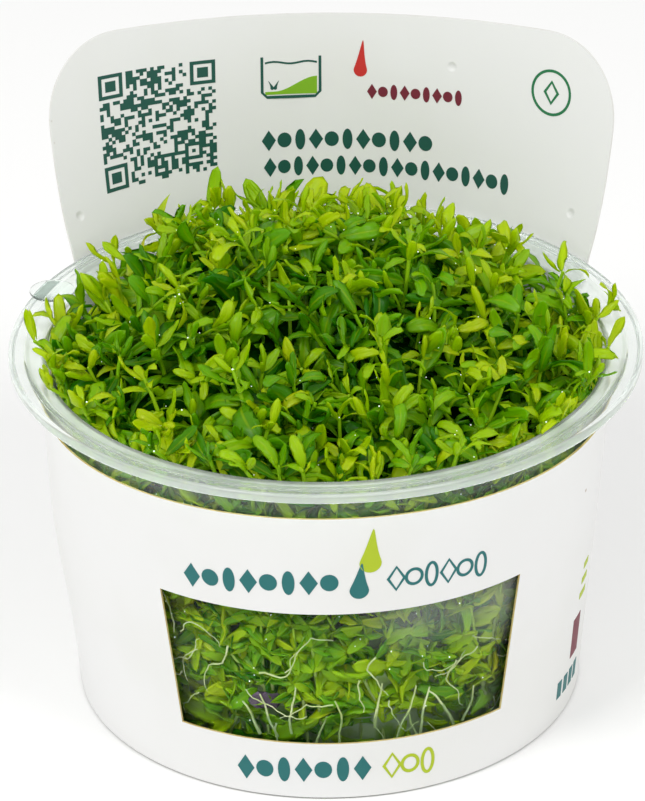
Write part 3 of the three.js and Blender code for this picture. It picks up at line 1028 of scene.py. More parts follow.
@dataclass
class Sleeve:
    """The white card sleeve with its window and its back panel."""

    form: CardForm
    bottom: float = 0.3
    front_top: float = 51.7
    side_drop: float = 1.2
    window_bottom: float = 10.5
    window_top: float = 34.6
    window_centre: float = math.radians(177)
    half_angle_top: float = math.radians(39.5)
    half_angle_bottom: float = math.radians(36.9)
    corner_steps: int = 16
    panel_steps: int = 44
    side_steps: int = 30
    front_steps: int = 44
    low_rows: int = 6
    window_rows: int = 14
    upper_rows: int = 8
    panel_rows: int = 22
    card: Board = Board(
        "printed_card",
        dimples=((-39.35, 34.72, 63.29), (39.79, 33.79, 63.11), (21.14, 50.83, 81.6)),
        specks=(
            (-35.8, 48.32, 89.26),
            (-43.6, 39.75, 77.82),
            (-43.21, 38.4, 74.59),
            (33.78, 48.33, 89.85),
            (41.43, 44.35, 88.87),
            (39.46, -17.72, 41.13),
        ),
    )
    cut: Plain = Plain("cut_card_edge", srgb(222, 204, 140), srgb(204, 180, 108), 0.8)
    rim: Plain = Plain("white_card_edge", srgb(226, 226, 222), srgb(216, 216, 210), 0.7)

    def columns(self) -> list[tuple[CardPart, float]]:
        """Each column's part and its place along the panel in millimetres, or its share of its part.

        Returns:
            The columns, in order round the cup.
        """
        inner = self.form.half_width - self.form.corner
        quarter = math.pi / 2
        corner = [
            inner + self.form.corner * math.sin(quarter * i / self.corner_steps)
            for i in range(1, self.corner_steps + 1)
        ]
        middle = [lerp(-inner, inner, i / self.panel_steps) for i in range(self.panel_steps + 1)]
        alongs = [-s for s in reversed(corner)] + middle + corner
        made = [(CardPart.PANEL, along) for along in alongs]
        for part, steps, first in (
            (CardPart.RIGHT, self.side_steps, 1),
            (CardPart.FRONT, self.front_steps, 0),
            (CardPart.LEFT, self.side_steps, 0),
        ):
            made.extend((part, i / steps) for i in range(first, steps))
        return made

    def angle(self, part: CardPart, share: float, z: float) -> float:
        """Angle of a column below the flange; the window's slanted ends steer the columns beside it.

        Args:
            part: The column's part.
            share: Its share of its part.
            z: The height.

        Returns:
            The angle from the back, no more than half a turn either way.
        """
        slant = min(max((z - self.window_bottom) / (self.window_top - self.window_bottom), 0.0), 1.0)
        half = lerp(self.half_angle_bottom, self.half_angle_top, slant)
        end = self.form.half_width / self.form.back_rim
        right = self.window_centre - half
        left = self.window_centre + half
        start, stop = {
            CardPart.RIGHT: (self.form.turn + end, right),
            CardPart.FRONT: (right, left),
            CardPart.LEFT: (left, FULL_TURN + self.form.turn - end),
        }[part]
        angle = lerp(start, stop, share)
        return angle - FULL_TURN if angle > math.pi else angle

    def side_top(self, angle: float) -> float:
        """Height of the upper edge at the front and the sides."""
        return self.front_top - self.side_drop * math.sin(angle) ** 2

    def lower_rows(self) -> list[float]:
        """Heights of the level rows.

        Returns:
            The heights, from the bottom to the window's top.
        """
        below = [lerp(self.bottom, self.window_bottom, i / self.low_rows) for i in range(self.low_rows)]
        shares = [i / self.window_rows for i in range(self.window_rows + 1)]
        return below + [lerp(self.window_bottom, self.window_top, share) for share in shares]

    def place(self, column: tuple[CardPart, float], row: int, inset: float) -> Vector:
        """Where a column meets a row.

        Args:
            column: The column's part and place.
            row: The number of the row, from the bottom.
            inset: How far inside the outer side it is.

        Returns:
            The point.
        """
        part, where = column
        levels = self.lower_rows()
        above = row - len(levels) + 1
        share = min(above / self.upper_rows, 1.0)
        if part is not CardPart.PANEL:
            top = self.side_top(self.angle(part, where, self.front_top))
            z = levels[row] if above <= 0 else lerp(self.window_top, top, share)
            return self.form.lower(self.angle(part, where, z), z, inset)
        shoulder = self.side_top(self.form.half_width / self.form.back_rim)
        z = levels[row] if above <= 0 else lerp(self.window_top, shoulder, share)
        if above > self.upper_rows:
            z = lerp(shoulder, self.form.panel_top(where), (above - self.upper_rows) / self.panel_rows)
        return self.form.panel(where, z, inset)

    def build(self) -> bpy.types.Object:
        """Makes the sleeve.

        Returns:
            The sleeve.
        """
        columns = self.columns()
        count = len(columns)
        level_count = len(self.lower_rows())
        side_row = level_count + self.upper_rows - 1
        rows = side_row + 1 + self.panel_rows
        window = range(self.low_rows, level_count - 1)
        shape = Shape()
        numbers: dict[tuple[int, int, int], int] = {}

        def present(i: int, row: int) -> bool:
            """Whether there is card between a column and the next and between a row and the next.

            Args:
                i: The column.
                row: The row.

            Returns:
                True where there is card.
            """
            part, after = (columns[k % count][0] for k in (i, i + 1))
            if row >= side_row:
                return row < rows - 1 and part is after is CardPart.PANEL
            return row >= 0 and not (part is CardPart.FRONT and row in window)

        def corner(side: int, i: int, row: int) -> int:
            """Number of a corner of the outer or the inner side, made when it is first asked for.

            Args:
                side: 0 for the outer side, 1 for the inner side.
                i: The column.
                row: The row.

            Returns:
                The corner's number.
            """
            key = (side, i % count, row)
            if key not in numbers:
                numbers[key] = len(shape.points)
                shape.points.append(self.place(columns[i % count], row, side * self.form.thickness))
            return numbers[key]

        def add(finish: int, *corners: tuple[int, int, int]) -> None:
            """Adds a face."""
            shape.faces.append(tuple(corner(*place) for place in corners))
            shape.finishes.append(finish)

        for i in range(count):
            for row in range(rows - 1):
                if not present(i, row):
                    continue
                a, b, c, d = (i, row), (i + 1, row), (i + 1, row + 1), (i, row + 1)
                add(0, (0, *a), (0, *d), (0, *c), (0, *b))
                add(0, (1, *a), (1, *b), (1, *c), (1, *d))
                edge = 2 if columns[i][0] is CardPart.PANEL or row == 0 else 1
                besides = ((i, row - 1, a, b), (i, row + 1, c, d), (i - 1, row, d, a), (i + 1, row, b, c))
                for column, level, start, end in besides:
                    if not present(column, level):
                        add(edge, (0, *start), (0, *end), (1, *end), (1, *start))
        made = shape.make("card_sleeve", [self.card.build(), self.cut.build(), self.rim.build()], 40.0)
        return settle(made, ["sleeve"])


# Printing


@dataclass
class Ink:
    """Printed marks of one colour, drawn flat in millimetres and laid on the card as a very thin layer."""

    name: str
    colour: Colour
    onto: Callable[[float, float, float], Vector]
    lift: float = 0.05
    sunk: float = 0.04
    longest: float = 2.5
    crown: float = 4.0
    shape: Shape = field(default_factory=Shape)

    def patch(self, outline: Sequence[tuple[float, float]]) -> None:
        """Adds a filled convex outline.

        Args:
            outline: Its points, in order.
        """
        count = len(outline)
        front = [self.onto(x, z, -self.lift) for x, z in outline]
        back = [self.onto(x, z, self.sunk) for x, z in outline]
        faces: list[Face] = [tuple(range(count)), tuple(reversed(range(count, 2 * count)))]
        faces.extend((i, (i + 1) % count, count + (i + 1) % count, count + i) for i in range(count))
        self.shape.add(front + back, faces)

    def block(self, left: float, bottom: float, right: float, top: float) -> None:
        """Adds an upright block, in pieces short enough to follow the card.

        Args:
            left: Where it starts.
            bottom: The height of its foot.
            right: Where it ends.
            top: The height of its top.
        """
        pieces = max(1, math.ceil((right - left) / self.longest))
        for i in range(pieces):
            a = lerp(left, right, i / pieces)
            b = lerp(left, right, (i + 1) / pieces)
            self.patch([(a, bottom), (b, bottom), (b, top), (a, top)])

    def line(self, path: Sequence[tuple[float, float]], width: float, ring: bool = False) -> None:
        """Adds a line of even width along a path, which may close on itself.

        Args:
            path: The path's points.
            width: The line's width.
            ring: Whether the path closes on itself.
        """
        count = len(path)
        sides = []
        for i, (x, z) in enumerate(path):
            before = path[i - 1] if ring or i > 0 else path[i]
            after = path[(i + 1) % count] if ring or i + 1 < count else path[i]
            along = (Vector(after) - Vector(before)).normalized()
            across = Vector((-along.y, along.x)) * width / 2
            sides.append(((x + across.x, z + across.y), (x - across.x, z - across.y)))
        for i in range(count if ring else count - 1):
            (a, b), (c, d) = sides[i], sides[(i + 1) % count]
            self.patch([a, b, d, c])

    def disc(self, x: float, z: float, radius: float, point: float = 0.0, lean: float = 0.0) -> None:
        """Adds a disc, or a drop where its top is drawn out to a point and leans.

        Args:
            x: The place of its middle.
            z: The height of its middle.
            radius: Its radius.
            point: How far its top is drawn out.
            lean: How far the point leans, as a share of that.
        """
        steps = 28
        outline = []
        for i in range(steps):
            angle = FULL_TURN * i / steps
            up = math.sin(angle)
            rise = max(up, 0.0) ** 3 * point
            slim = 1 - 0.55 * max(up, 0.0) ** 2 if point else 1.0
            outline.append((x + radius * slim * math.cos(angle) + lean * rise, z + radius * up + rise))
        self.patch(outline)

    def frieze(
        self, left: float, right: float, middle: float, height: float, bold: float = 1.0, sag: float = 0.0
    ) -> None:
        """Adds a row of plain ornaments: lozenges, discs and leaf ovals in turn.

        Args:
            left: Where it starts.
            right: Where it ends.
            middle: The height of its middle line where that is highest.
            height: Its height.
            bold: 1 for filled ornaments, less for outlines of that share of their height.
            sag: How much the middle line falls away to both sides.
        """
        count = max(2, round((right - left) / (height * 0.74)))
        pitch = (right - left) / count
        for i in range(count):
            x = left + (i + 0.5) * pitch
            z = middle - sag * (x - self.crown) ** 2
            wide = pitch * 0.45
            lozenge, disc, oval = (i % 3 == form for form in range(3))
            tall = min(height / 2, wide) * 1.05 if disc else height / 2
            steps = 4 if lozenge else 20
            turns = [FULL_TURN * k / steps for k in range(steps)]
            narrow = 0.7 if oval else 1.0
            outline = [(x + wide * narrow * math.cos(a), z + tall * math.sin(a)) for a in turns]
            if bold >= 1:
                self.patch(outline)
            else:
                self.line(outline, height * bold, ring=True)

    def build(self) -> bpy.types.Object:
        """Makes the printed layer."""
        finish = Plain(f"{self.name}_ink", self.colour, self.colour, 0.5)
        return settle(self.shape.make(self.name, [finish.build()], 30.0))


@dataclass
class Printing:
    """Plain printed ornament in the places where the card is printed."""

    form: CardForm
    dark_green: Colour = srgb(8, 78, 66)
    ring_green: Colour = srgb(16, 112, 66)
    ground_green: Colour = srgb(122, 174, 20)
    teal: Colour = srgb(4, 104, 104)
    lime: Colour = srgb(172, 192, 8)
    red: Colour = srgb(196, 38, 32)
    maroon: Colour = srgb(112, 22, 44)
    front_scale: float = 44.2
    modules: int = 33
    seed: int = 71

    def on_front(self, x: float, z: float, inset: float) -> Vector:
        """A point of the front, x millimetres to the viewer's right of its middle."""
        return self.form.lower(math.pi - x / self.front_scale, z, inset)

    def on_panel(self, x: float, z: float, inset: float) -> Vector:
        """A point of the side of the panel that faces the plants."""
        return self.form.panel(x, z, self.form.thickness - inset)

    def dot_code(self, ink: Ink) -> None:
        """A square field of random dark cells with three nested squares at its corners.

        Args:
            ink: The ink.
        """
        left, right = -39.4, -19.4
        bottom, top = 65.1, 82.8
        cell_x = (right - left) / self.modules
        cell_z = (top - bottom) / self.modules
        chance = random.Random(self.seed)

        def cell(i: int, k: int, wide: int = 1) -> None:
            """Fills cells in a row."""
            x, z = left + i * cell_x, bottom + k * cell_z
            ink.block(x, z, x + wide * cell_x, z + cell_z)

        def square(i: int, k: int, size: int) -> None:
            """Fills the cells round a square.

            Args:
                i: The column of its lower left cell.
                k: The row of that cell.
                size: How many cells wide and high it is.
            """
            for row in range(size):
                if row in (0, size - 1):
                    cell(i, k + row, size)
                else:
                    cell(i, k + row)
                    cell(i + size - 1, k + row)

        last = self.modules - 7
        marks = ((0, last), (last, last), (0, 0))
        small = (last - 2, 4)
        for i in range(self.modules):
            for k in range(self.modules):
                near = any(a - 1 <= i <= a + 7 and b - 1 <= k <= b + 7 for a, b in marks)
                near = near or (small[0] <= i < small[0] + 5 and small[1] <= k < small[1] + 5)
                if chance.random() < 0.5 and not near:
                    cell(i, k)
        cell(small[0] + 2, small[1] + 2)
        square(*small, 5)
        for a, b in marks:
            square(a, b, 7)
            for k in range(2, 5):
                cell(a + 2, b + k, 3)

    def tank_sign(self, ink: Ink, ground: Ink) -> None:
        """An open tank with a water line and a slope of ground.

        Args:
            ink: The ink of its lines.
            ground: The ink of its ground.
        """
        left, right, bottom, top = -11.7, -2.2, 75.9, 82.5
        curve = 0.8
        path = [(left, top), (left, bottom + curve), (left + curve, bottom)]
        path += [(right - curve, bottom), (right, bottom + curve), (right, top)]
        ink.line(path, 0.45)
        steps = 12
        wave = []
        slope = []
        for i in range(steps + 1):
            x = lerp(left + 0.5, right - 0.5, i / steps)
            wave.append((x, top - 1.0 + 0.18 * math.sin(i * 0.8)))
            slope.append((x, bottom + 0.9 + 2.4 * smooth_share(i / steps, 0.2, 1.0)))
        ink.line(wave, 0.3)
        for lean in (-0.7, 0.7):
            ink.disc(left + 1.9 + lean * 0.35, bottom + 1.5, 0.3, 0.9, lean)
        for a, b in zip(slope, slope[1:]):
            ground.patch([(a[0], bottom + 0.4), (b[0], bottom + 0.4), b, a])

    def lozenge_ring(self, ink: Ink) -> None:
        """A ring round a plain open lozenge.

        Args:
            ink: The ink.
        """
        x, z, radius = 36.8, 80.0, 3.35
        turn = [FULL_TURN * i / 40 for i in range(40)]
        ink.line([(x + radius * math.cos(a), z + radius * math.sin(a)) for a in turn], 0.42, ring=True)
        wide, tall = 1.15, 1.65
        ink.line([(x + wide, z), (x, z + tall), (x - wide, z), (x, z - tall)], 0.5, ring=True)

    def build(self) -> list[bpy.types.Object]:
        """Makes every printed layer.

        Returns:
            The layers.
        """
        layers = (
            ("panel_print", self.dark_green, self.on_panel),
            ("panel_ring_print", self.ring_green, self.on_panel),
            ("panel_ground_print", self.ground_green, self.on_panel),
            ("panel_red_print", self.red, self.on_panel),
            ("panel_maroon_print", self.maroon, self.on_panel),
            ("front_print", self.teal, self.on_front),
            ("front_lime_print", self.lime, self.on_front),
            ("front_maroon_print", self.maroon, self.on_front),
        )
        inks = [Ink(*layer) for layer in layers]
        panel, ring, ground, red, maroon, teal, lime, side = inks
        self.dot_code(panel)
        self.tank_sign(panel, ground)
        self.lozenge_ring(ring)
        panel.frieze(-12.0, 16.5, 68.75, 3.4)
        panel.frieze(-11.7, 30.4, 64.35, 3.2)
        red.disc(4.4, 80.2, 1.1, 3.8, 0.12)
        maroon.frieze(5.4, 21.6, 76.7, 2.5)
        teal.frieze(-23.4, 1.6, 40.4, 4.3, sag=0.0021)
        teal.frieze(8.9, 25.9, 40.4, 4.1, 0.12, 0.0021)
        lime.disc(6.3, 43.6, 1.7, 4.4, 0.1)
        teal.disc(4.6, 38.8, 1.5, 3.4, 0.12)
        teal.frieze(-16.2, 6.9, 5.7, 4.6, sag=0.002)
        lime.frieze(8.7, 18.1, 5.7, 4.4, 0.13, 0.002)
        for k in range(3):
            lime.block(54.0 + 0.4 * k, 19.6 + 2.6 * k, 57.5, 20.7 + 2.6 * k)
        side.block(52.2, 9.6, 56.0, 16.6)
        for k in range(4):
            teal.block(47.5 + 2.6 * k, 4.3, 49.2 + 2.6 * k, 7.4)
        return [ink.build() for ink in inks]


@dataclass
class Gel:
    """The clear gel that the stems stand in, with a slightly uneven top."""

    cup: Cup
    top: float = 14.0
    gap: float = 0.3
    corner: float = 3.2
    sides: int = 96
    material: GelBody = GelBody("clear_gel")

    def build(self) -> bpy.types.Object:
        """Makes the gel.

        Returns:
            The gel.
        """
        bottom = self.cup.floor + self.gap
        side = self.cup.inner_radius(self.top) - self.gap
        section = filleted(
            [
                (0.0, bottom, 0.0),
                (self.cup.inner_radius(bottom) - self.gap, bottom, self.corner),
                (side, self.top - 0.1, 0.4),
                (side - 1.2, self.top - 0.5, 0.5),
                (0.0, self.top - 0.4, 0.0),
            ]
        )
        shape = Shape()
        shape.add(*turned(section, self.sides))
        return settle(shape.make("clear_gel", [self.material.build()], 55.0), ["gel"])


# The plants


class LeafForm(Enum):
    """The forms that leaves take: ranges of width, fold, arch, twist and sharpness of the tip."""

    FLAT = ((0.25, 0.35), (8, 28), (40, 130), (-50, 50), (0.42, 0.62))
    SPOON = ((0.32, 0.41), (6, 24), (0, 110), (-36, 36), (0.34, 0.46))
    FOLDED = ((0.28, 0.38), (34, 60), (40, 140), (-50, 50), (0.44, 0.62))
    CUPPED = ((0.28, 0.38), (16, 38), (-74, -22), (-30, 30), (0.38, 0.52))
    HOOKED = ((0.23, 0.31), (14, 36), (150, 260), (-40, 40), (0.48, 0.70))
    TWISTED = ((0.26, 0.36), (8, 26), (30, 110), (60, 130), (0.46, 0.72))


LEAF_COUNTS = {
    LeafForm.FLAT: 3,
    LeafForm.SPOON: 4,
    LeafForm.FOLDED: 3,
    LeafForm.CUPPED: 3,
    LeafForm.TWISTED: 3,
    LeafForm.HOOKED: 2,
}
LEAF_ORDER = tuple(form for form, count in LEAF_COUNTS.items() for _ in range(count))


def kinds_of(*forms: LeafForm) -> tuple[int, ...]:
    """The numbers of the blades that have one of the forms."""
    return tuple(i for i, form in enumerate(LEAF_ORDER) if form in forms)


OPEN_KINDS = kinds_of(*(form for form in LeafForm if form is not LeafForm.CUPPED))
YOUNG_KINDS = kinds_of(LeafForm.CUPPED, LeafForm.FLAT)
PRESSED_KINDS = kinds_of(LeafForm.FLAT, LeafForm.SPOON)


@dataclass
class LeafCutter:
    """Makes closed leaf blades a millimetre long, from foot to rounded tip."""

    rows: tuple[float, ...] = (0.07, 0.2, 0.38, 0.58, 0.76, 0.91)
    columns: tuple[float, ...] = (-1.0, -0.5, 0.0, 0.5, 1.0)
    row_round: tuple[int, ...] = (0, 1, 2, 3, 4, 7, 6, 5)
    thickness: float = 0.026
    least_width: float = 0.16
    ruffle: float = 0.055
    ruffle_paces: Pair = (5.0, 10.0)
    foot_sharpness: Pair = (0.62, 0.85)
    arch_power: float = 1.25
    fold_power: float = 1.4
    spine_steps: int = 12
    seed: int = 5
    outlines: list[list[Vector]] = field(default_factory=list)

    def blade(self, form: LeafForm, name: str, chance: random.Random) -> bpy.types.Object:
        """Makes one blade.

        Args:
            form: The blade's form.
            name: The object's name.
            chance: The source of chance.

        Returns:
            The blade, whose outline is kept for fitting it in the cup.
        """
        widths, folds, arches, twists, tips = form.value
        half_width = chance.uniform(*widths) / 2
        fold, arch, twist = [math.radians(chance.uniform(*span)) for span in (folds, arches, twists)]
        waves = [(chance.uniform(0, FULL_TURN), chance.uniform(*self.ruffle_paces)) for _ in range(2)]
        rise = chance.uniform(*self.foot_sharpness)
        fall = chance.uniform(*tips)
        peak = rise / (rise + fall)
        most = peak**rise * (1 - peak) ** fall

        def spine(t: float) -> tuple[Vector, Vector, Vector]:
            """Middle, direction and upper normal of the blade at a share of its length.

            Args:
                t: The share.

            Returns:
                The middle, the direction and the normal.
            """
            middle = Vector((0, 0, 0))
            for k in range(self.spine_steps):
                bend = -arch * ((k + 0.5) / self.spine_steps * t) ** self.arch_power
                middle += Vector((0, math.cos(bend), math.sin(bend))) * (t / self.spine_steps)
            bend = -arch * t**self.arch_power
            return middle, Vector((0, math.cos(bend), math.sin(bend))), Vector((0, -math.sin(bend), math.cos(bend)))

        points: list[Vector] = []
        places: list[tuple[float, float]] = []
        for t in self.rows:
            middle, ahead, normal = spine(t)
            width = half_width * max(t**rise * (1 - t) ** fall / most, self.least_width)
            turn = Matrix.Rotation(twist * t, 3, ahead)
            for side, columns in ((1, self.columns), (-1, self.columns[1:-1])):
                for c in columns:
                    raised = abs(c) ** self.fold_power
                    cross = Vector((1, 0, 0)) * c * math.cos(fold) + normal * raised * math.sin(fold)
                    start, pace = waves[c > 0]
                    wave = self.ruffle * c * c * math.sin(start + pace * t) * math.sin(math.pi * t)
                    lift = normal * (side * self.thickness / 2 * (1 - c * c) + wave)
                    points.append(middle + turn @ (cross * width + lift))
                    places.append(((c + 1) / 2, t))
        foot, tip = len(points), len(points) + 1
        points += [Vector((0, 0, 0)), spine(1.0)[0]]
        places += [(0.5, 0.0), (0.5, 1.0)]
        count = len(self.row_round)
        rings = [[count * row + i for i in self.row_round] for row in range(len(self.rows))]
        pairs = [(i, (i + 1) % count) for i in range(count)]
        faces: list[Face] = [(a[i], a[k], b[k], b[i]) for a, b in zip(rings, rings[1:]) for i, k in pairs]
        faces += [(foot, rings[0][k], rings[0][i]) for i, k in pairs]
        faces += [(tip, rings[-1][i], rings[-1][k]) for i, k in pairs]
        self.outlines.append([p for p, (c, _) in zip(points, places) if c in (0.0, 0.5, 1.0)])
        made = Shape(points, faces).make(name, [], 180.0)
        layer = made.data.uv_layers.new(name="leaf")
        for loop in made.data.loops:
            layer.data[loop.index].uv = places[loop.vertex_index]
        return made

    def build(self) -> bpy.types.Collection:
        """Makes a collection of blades, one for each place in the order of forms.

        Returns:
            The collection.
        """
        chance = random.Random(self.seed)
        kept = bpy.data.collections.new("blades")
        for i, form in enumerate(LEAF_ORDER):
            made = self.blade(form, f"blade_{i:02d}", chance)
            bpy.context.scene.collection.objects.unlink(made)
            kept.objects.link(made)
        return kept


SECTORS = ("front", "front_right", "back_right", "back", "back_left", "front_left")


@dataclass
class Growth:
    """The dense growth of shoots: a dome over the cup, and shoots down its wall behind the window."""

    cup: Cup
    seed: int = 20
    # The form of the dome, the painted shade on the leaves in its front hollow, and where its leaves are lighter
    peak: float = 12.2
    edge: float = -1.0
    crests: tuple[tuple[float, float, float, float], ...] = (
        (-15.5, 12.0, 7.5, 3.2),
        (14.0, 11.0, 9.0, 1.4),
        (-4.0, -15.0, 12.0, -1.8),
    )
    centre: Pair = (-2.0, 8.0)
    flat_radius: float = 10.0
    foot_radius: float = 56.0
    # Painted shade: leaves round this middle, where the dome dips in the front, are given a darker tone.
    painted_shade_middle: Pair = (-4.0, -15.0)
    painted_shade_reach: Pair = (27.0, 13.0)
    painted_shade_amount: float = 0.24
    edge_light: Pair = (0.03, 0.24)
    all_light: float = 0.04
    # Shoots under the dome
    dome_shoots: int = 228
    dome_reach: float = 45.0
    mouth_reach: float = 42.4
    edge_from: float = 38.0
    thin_back: float = 0.7
    thin_from: Pair = (10.0, 36.0)
    place_scatter: float = 0.9
    height_scatter: float = 1.6
    tip_depth: float = 2.2
    hollows: float = 1.5
    tall_share: float = 0.08
    tall_rise: Pair = (1.0, 3.0)
    foot_reach: float = 36.0
    most_upright: float = 0.86
    leans: Pair = (4.0, 8.0)
    lean_share: float = 0.7
    bow_scatter: float = 3.2
    dome_length: Pair = (17.0, 23.0)
    dome_gap: Pair = (3.6, 6.0)
    dome_nodes: tuple[float, ...] = (0.6, 1.5, 2.5, 3.5)
    dome_tones: Pair = (3.0, 3.4)
    first_node: float = 0.3
    stem_radius: float = 0.44
    stem_steps: int = 8
    # Shoots, roots and pale feet at the wall behind the window, and leaves under the flange
    wall_shoots: int = 52
    wall_half_angle: float = math.radians(52)
    wall_low: Pair = (4.0, 16.0)
    wall_high: Pair = (24.0, 55.0)
    wall_insets: tuple[float, ...] = (0.8, 2.4, 3.4, 4.4)
    wall_gap: Pair = (4.2, 6.4)
    wall_bow: float = 3.0
    wall_scatter: tuple[float, float, float] = (0.03, 0.16, 2.4)
    root_count: int = 30
    root_radii: tuple[float, ...] = (0.09, 0.12, 0.17)
    root_end: float = 0.06
    pale_feet: int = 11
    feet_angles: Pair = (-0.62, 0.34)
    feet_radii: Pair = (0.2, 0.34)
    feet_end: float = 0.13
    trail_pace: float = 0.9
    rim_leaves: int = 720
    rim_band: Pair = (44.0, 57.4)
    # Leaves, by the depth of their node below the shoot's end, and drops of water on leaves and nodes
    ages: Pair = (-1.5, 6.0)
    sizes: Pair = (5.0, 9.4)
    size_scatter: Pair = (0.62, 1.18)
    rises: Pair = (54.0, 14.0)
    rise_scatter: float = 23.0
    tones: Pair = (0.24, -0.22)
    three_share: float = 0.45
    young_above: float = 3.0
    node_scatter: float = 0.28
    node_tones: float = 0.1
    tamed_share: float = 0.2
    pressed_lean: float = 0.8
    pressed_rise: Pair = (-0.5, 0.04)
    pressed_roll: float = 0.5
    pressed_tones: float = 0.2
    pressed_foot: Pair = (0.3, 0.9)
    pressed_sizes: Pair = (5.0, 9.0)
    rim_sizes: Pair = (4.0, 7.5)
    roll_scatter: float = 30.0
    yellow_share: float = 0.03
    green_most: float = 0.84
    overhang: float = 46.6
    clearance: float = 0.45
    fit_tries: int = 9
    fit_turns: Pair = (0.24, 0.12)
    fit_shrink: float = 0.96
    drop_shares: Pair = (0.12, 0.2)
    drop_radii: Pair = (0.05, 0.12)
    node_drop_radii: Pair = (0.07, 0.16)
    dew_drops: int = 1400
    # Deep shade between the stems, and the old leaf
    shade_sides: int = 72
    shade_depth: float = 8.6
    shade_radii: Pair = (39.4, 34.0)
    shade_rings: range = range(3, 40, 3)
    shade_shares: tuple[float, ...] = (0.12, 0.3, 0.5, 0.7, 0.88, 1.0)
    shade_scatter: Pair = (0.7, 0.3)
    shade_foot: float = 4.0
    old_place: Vector = field(default_factory=lambda: polar(38.5, math.radians(195.0), 16.6))
    old_gap: float = 3.4
    old_size: float = 5.4
    old_width: float = 1.9
    # Finishes, and the plans of what grows
    leaf_skin: LeafSkin = LeafSkin("leaf_skin")
    stem_skin: StemSkin = StemSkin("stem_skin")
    shade: PaintedShadeBody = PaintedShadeBody("undergrowth")
    root_skin: Plain = Plain("root_skin", srgb(222, 228, 178), srgb(184, 198, 122), 0.4)
    dew_glint_skin: Water = Water("dew_glint_skin")
    old_skin: Plain = Plain("old_leaf_skin", srgb(92, 70, 98), srgb(70, 62, 70), 0.5, 500.0)
    leaves: dict[str, Plan] = field(default_factory=lambda: {name: Plan() for name in SECTORS})
    stems: Plan = field(default_factory=Plan)
    roots: Plan = field(default_factory=Plan)
    dew: Plan = field(default_factory=Plan)
    cutter: LeafCutter = field(default_factory=LeafCutter)
    chance: random.Random = field(init=False)

    def dome(self, x: float, y: float) -> float:
        """Height of the leaf tips over a place in the cup.

        Args:
            x: How far to the right it is.
            y: How far to the back it is.

        Returns:
            The height.
        """
        away = math.hypot(x - self.centre[0], y - self.centre[1])
        share = smooth_share(away, self.flat_radius, self.foot_radius)
        height = self.cup.flange_top + lerp(self.peak, self.edge, share)
        for crest_x, crest_y, wide, high in self.crests:
            height += high * math.exp(-((x - crest_x) ** 2 + (y - crest_y) ** 2) / wide**2)
        return height

    def painted_shade_and_edge_tone(self, x: float, y: float) -> float:
        """How much the leaves' tone shifts over a place: painted shade darkens it in the front middle, where the dome
        dips, and it is lighter at the back edge.

        Args:
            x: How far to the right it is.
            y: How far to the back it is.

        Returns:
            What is added to the leaves' tone there.
        """
        off_x = (x - self.painted_shade_middle[0]) / self.painted_shade_reach[0]
        off_y = (y - self.painted_shade_middle[1]) / self.painted_shade_reach[1]
        outer = smooth_share(math.hypot(x, y), 20.0, self.edge_from)
        edge = lerp(*self.edge_light, smooth_share(y, -20.0, 20.0)) * outer
        # The subtracted term is painted shade in the dome's front hollow.
        return edge + self.all_light - self.painted_shade_amount * math.exp(-off_x * off_x - off_y * off_y)

    def room(self, z: float) -> float:
        """How far from the axis growth may reach at a height.

        Args:
            z: The height.

        Returns:
            The radius.
        """
        if z > self.cup.flange_top + 0.3:
            return self.overhang
        return self.cup.inner_radius(z) - self.clearance

    def sector(self, place: Vector) -> str:
        """The sector that a place is in."""
        turn = math.atan2(place.x, -place.y) % FULL_TURN
        return SECTORS[round(turn / FULL_TURN * len(SECTORS)) % len(SECTORS)]

    def drop(self, place: Vector, radius: float) -> None:
        """Adds a drop of water while there are fewer than the plan allows."""
        if len(self.dew.points) < self.dew_drops:
            self.dew.add(place, size=radius)

    def leaf(self, place: Vector, along: Vector, normal: Vector, size: float, kind: int, tone: float) -> None:
        """Adds a leaf if it fits, turned in and up and made smaller until it does.

        Args:
            place: Where its foot is.
            along: The direction of its length.
            normal: The direction of its upper side, which chance rolls a little.
            size: Its length.
            kind: The number of its blade.
            tone: Its tone, from 0 for deep green to 1 for yellow.
        """
        chance = self.chance
        normal = Matrix.Rotation(math.radians(chance.gauss(0, self.roll_scatter)), 3, along) @ normal
        most = 1.0 if chance.random() < self.yellow_share else self.green_most
        for _ in range(self.fit_tries):
            across = along.cross(normal).normalized()
            turn = Matrix((across, along, across.cross(along))).transposed()
            outline = [place + turn @ p * size for p in self.cutter.outlines[kind]]
            if all(math.hypot(p.x, p.y) <= self.room(p.z) for p in outline):
                break
            along = (along - outward(place) * self.fit_turns[0] + UP * self.fit_turns[1]).normalized()
            size *= self.fit_shrink
        else:
            return
        if (place + along * size * 0.5 - self.old_place).length < self.old_gap:
            return
        plan = self.leaves[self.sector(place)]
        plan.add(place, turn=tuple(turn.to_euler("XYZ")), size=size, kind=kind, tone=min(max(tone, 0.0), most))
        if chance.random() < self.drop_shares[0]:
            spot = place + along * size * chance.uniform(0.1, 0.4) + normal * 0.15
            self.drop(spot, chance.uniform(*self.drop_radii))

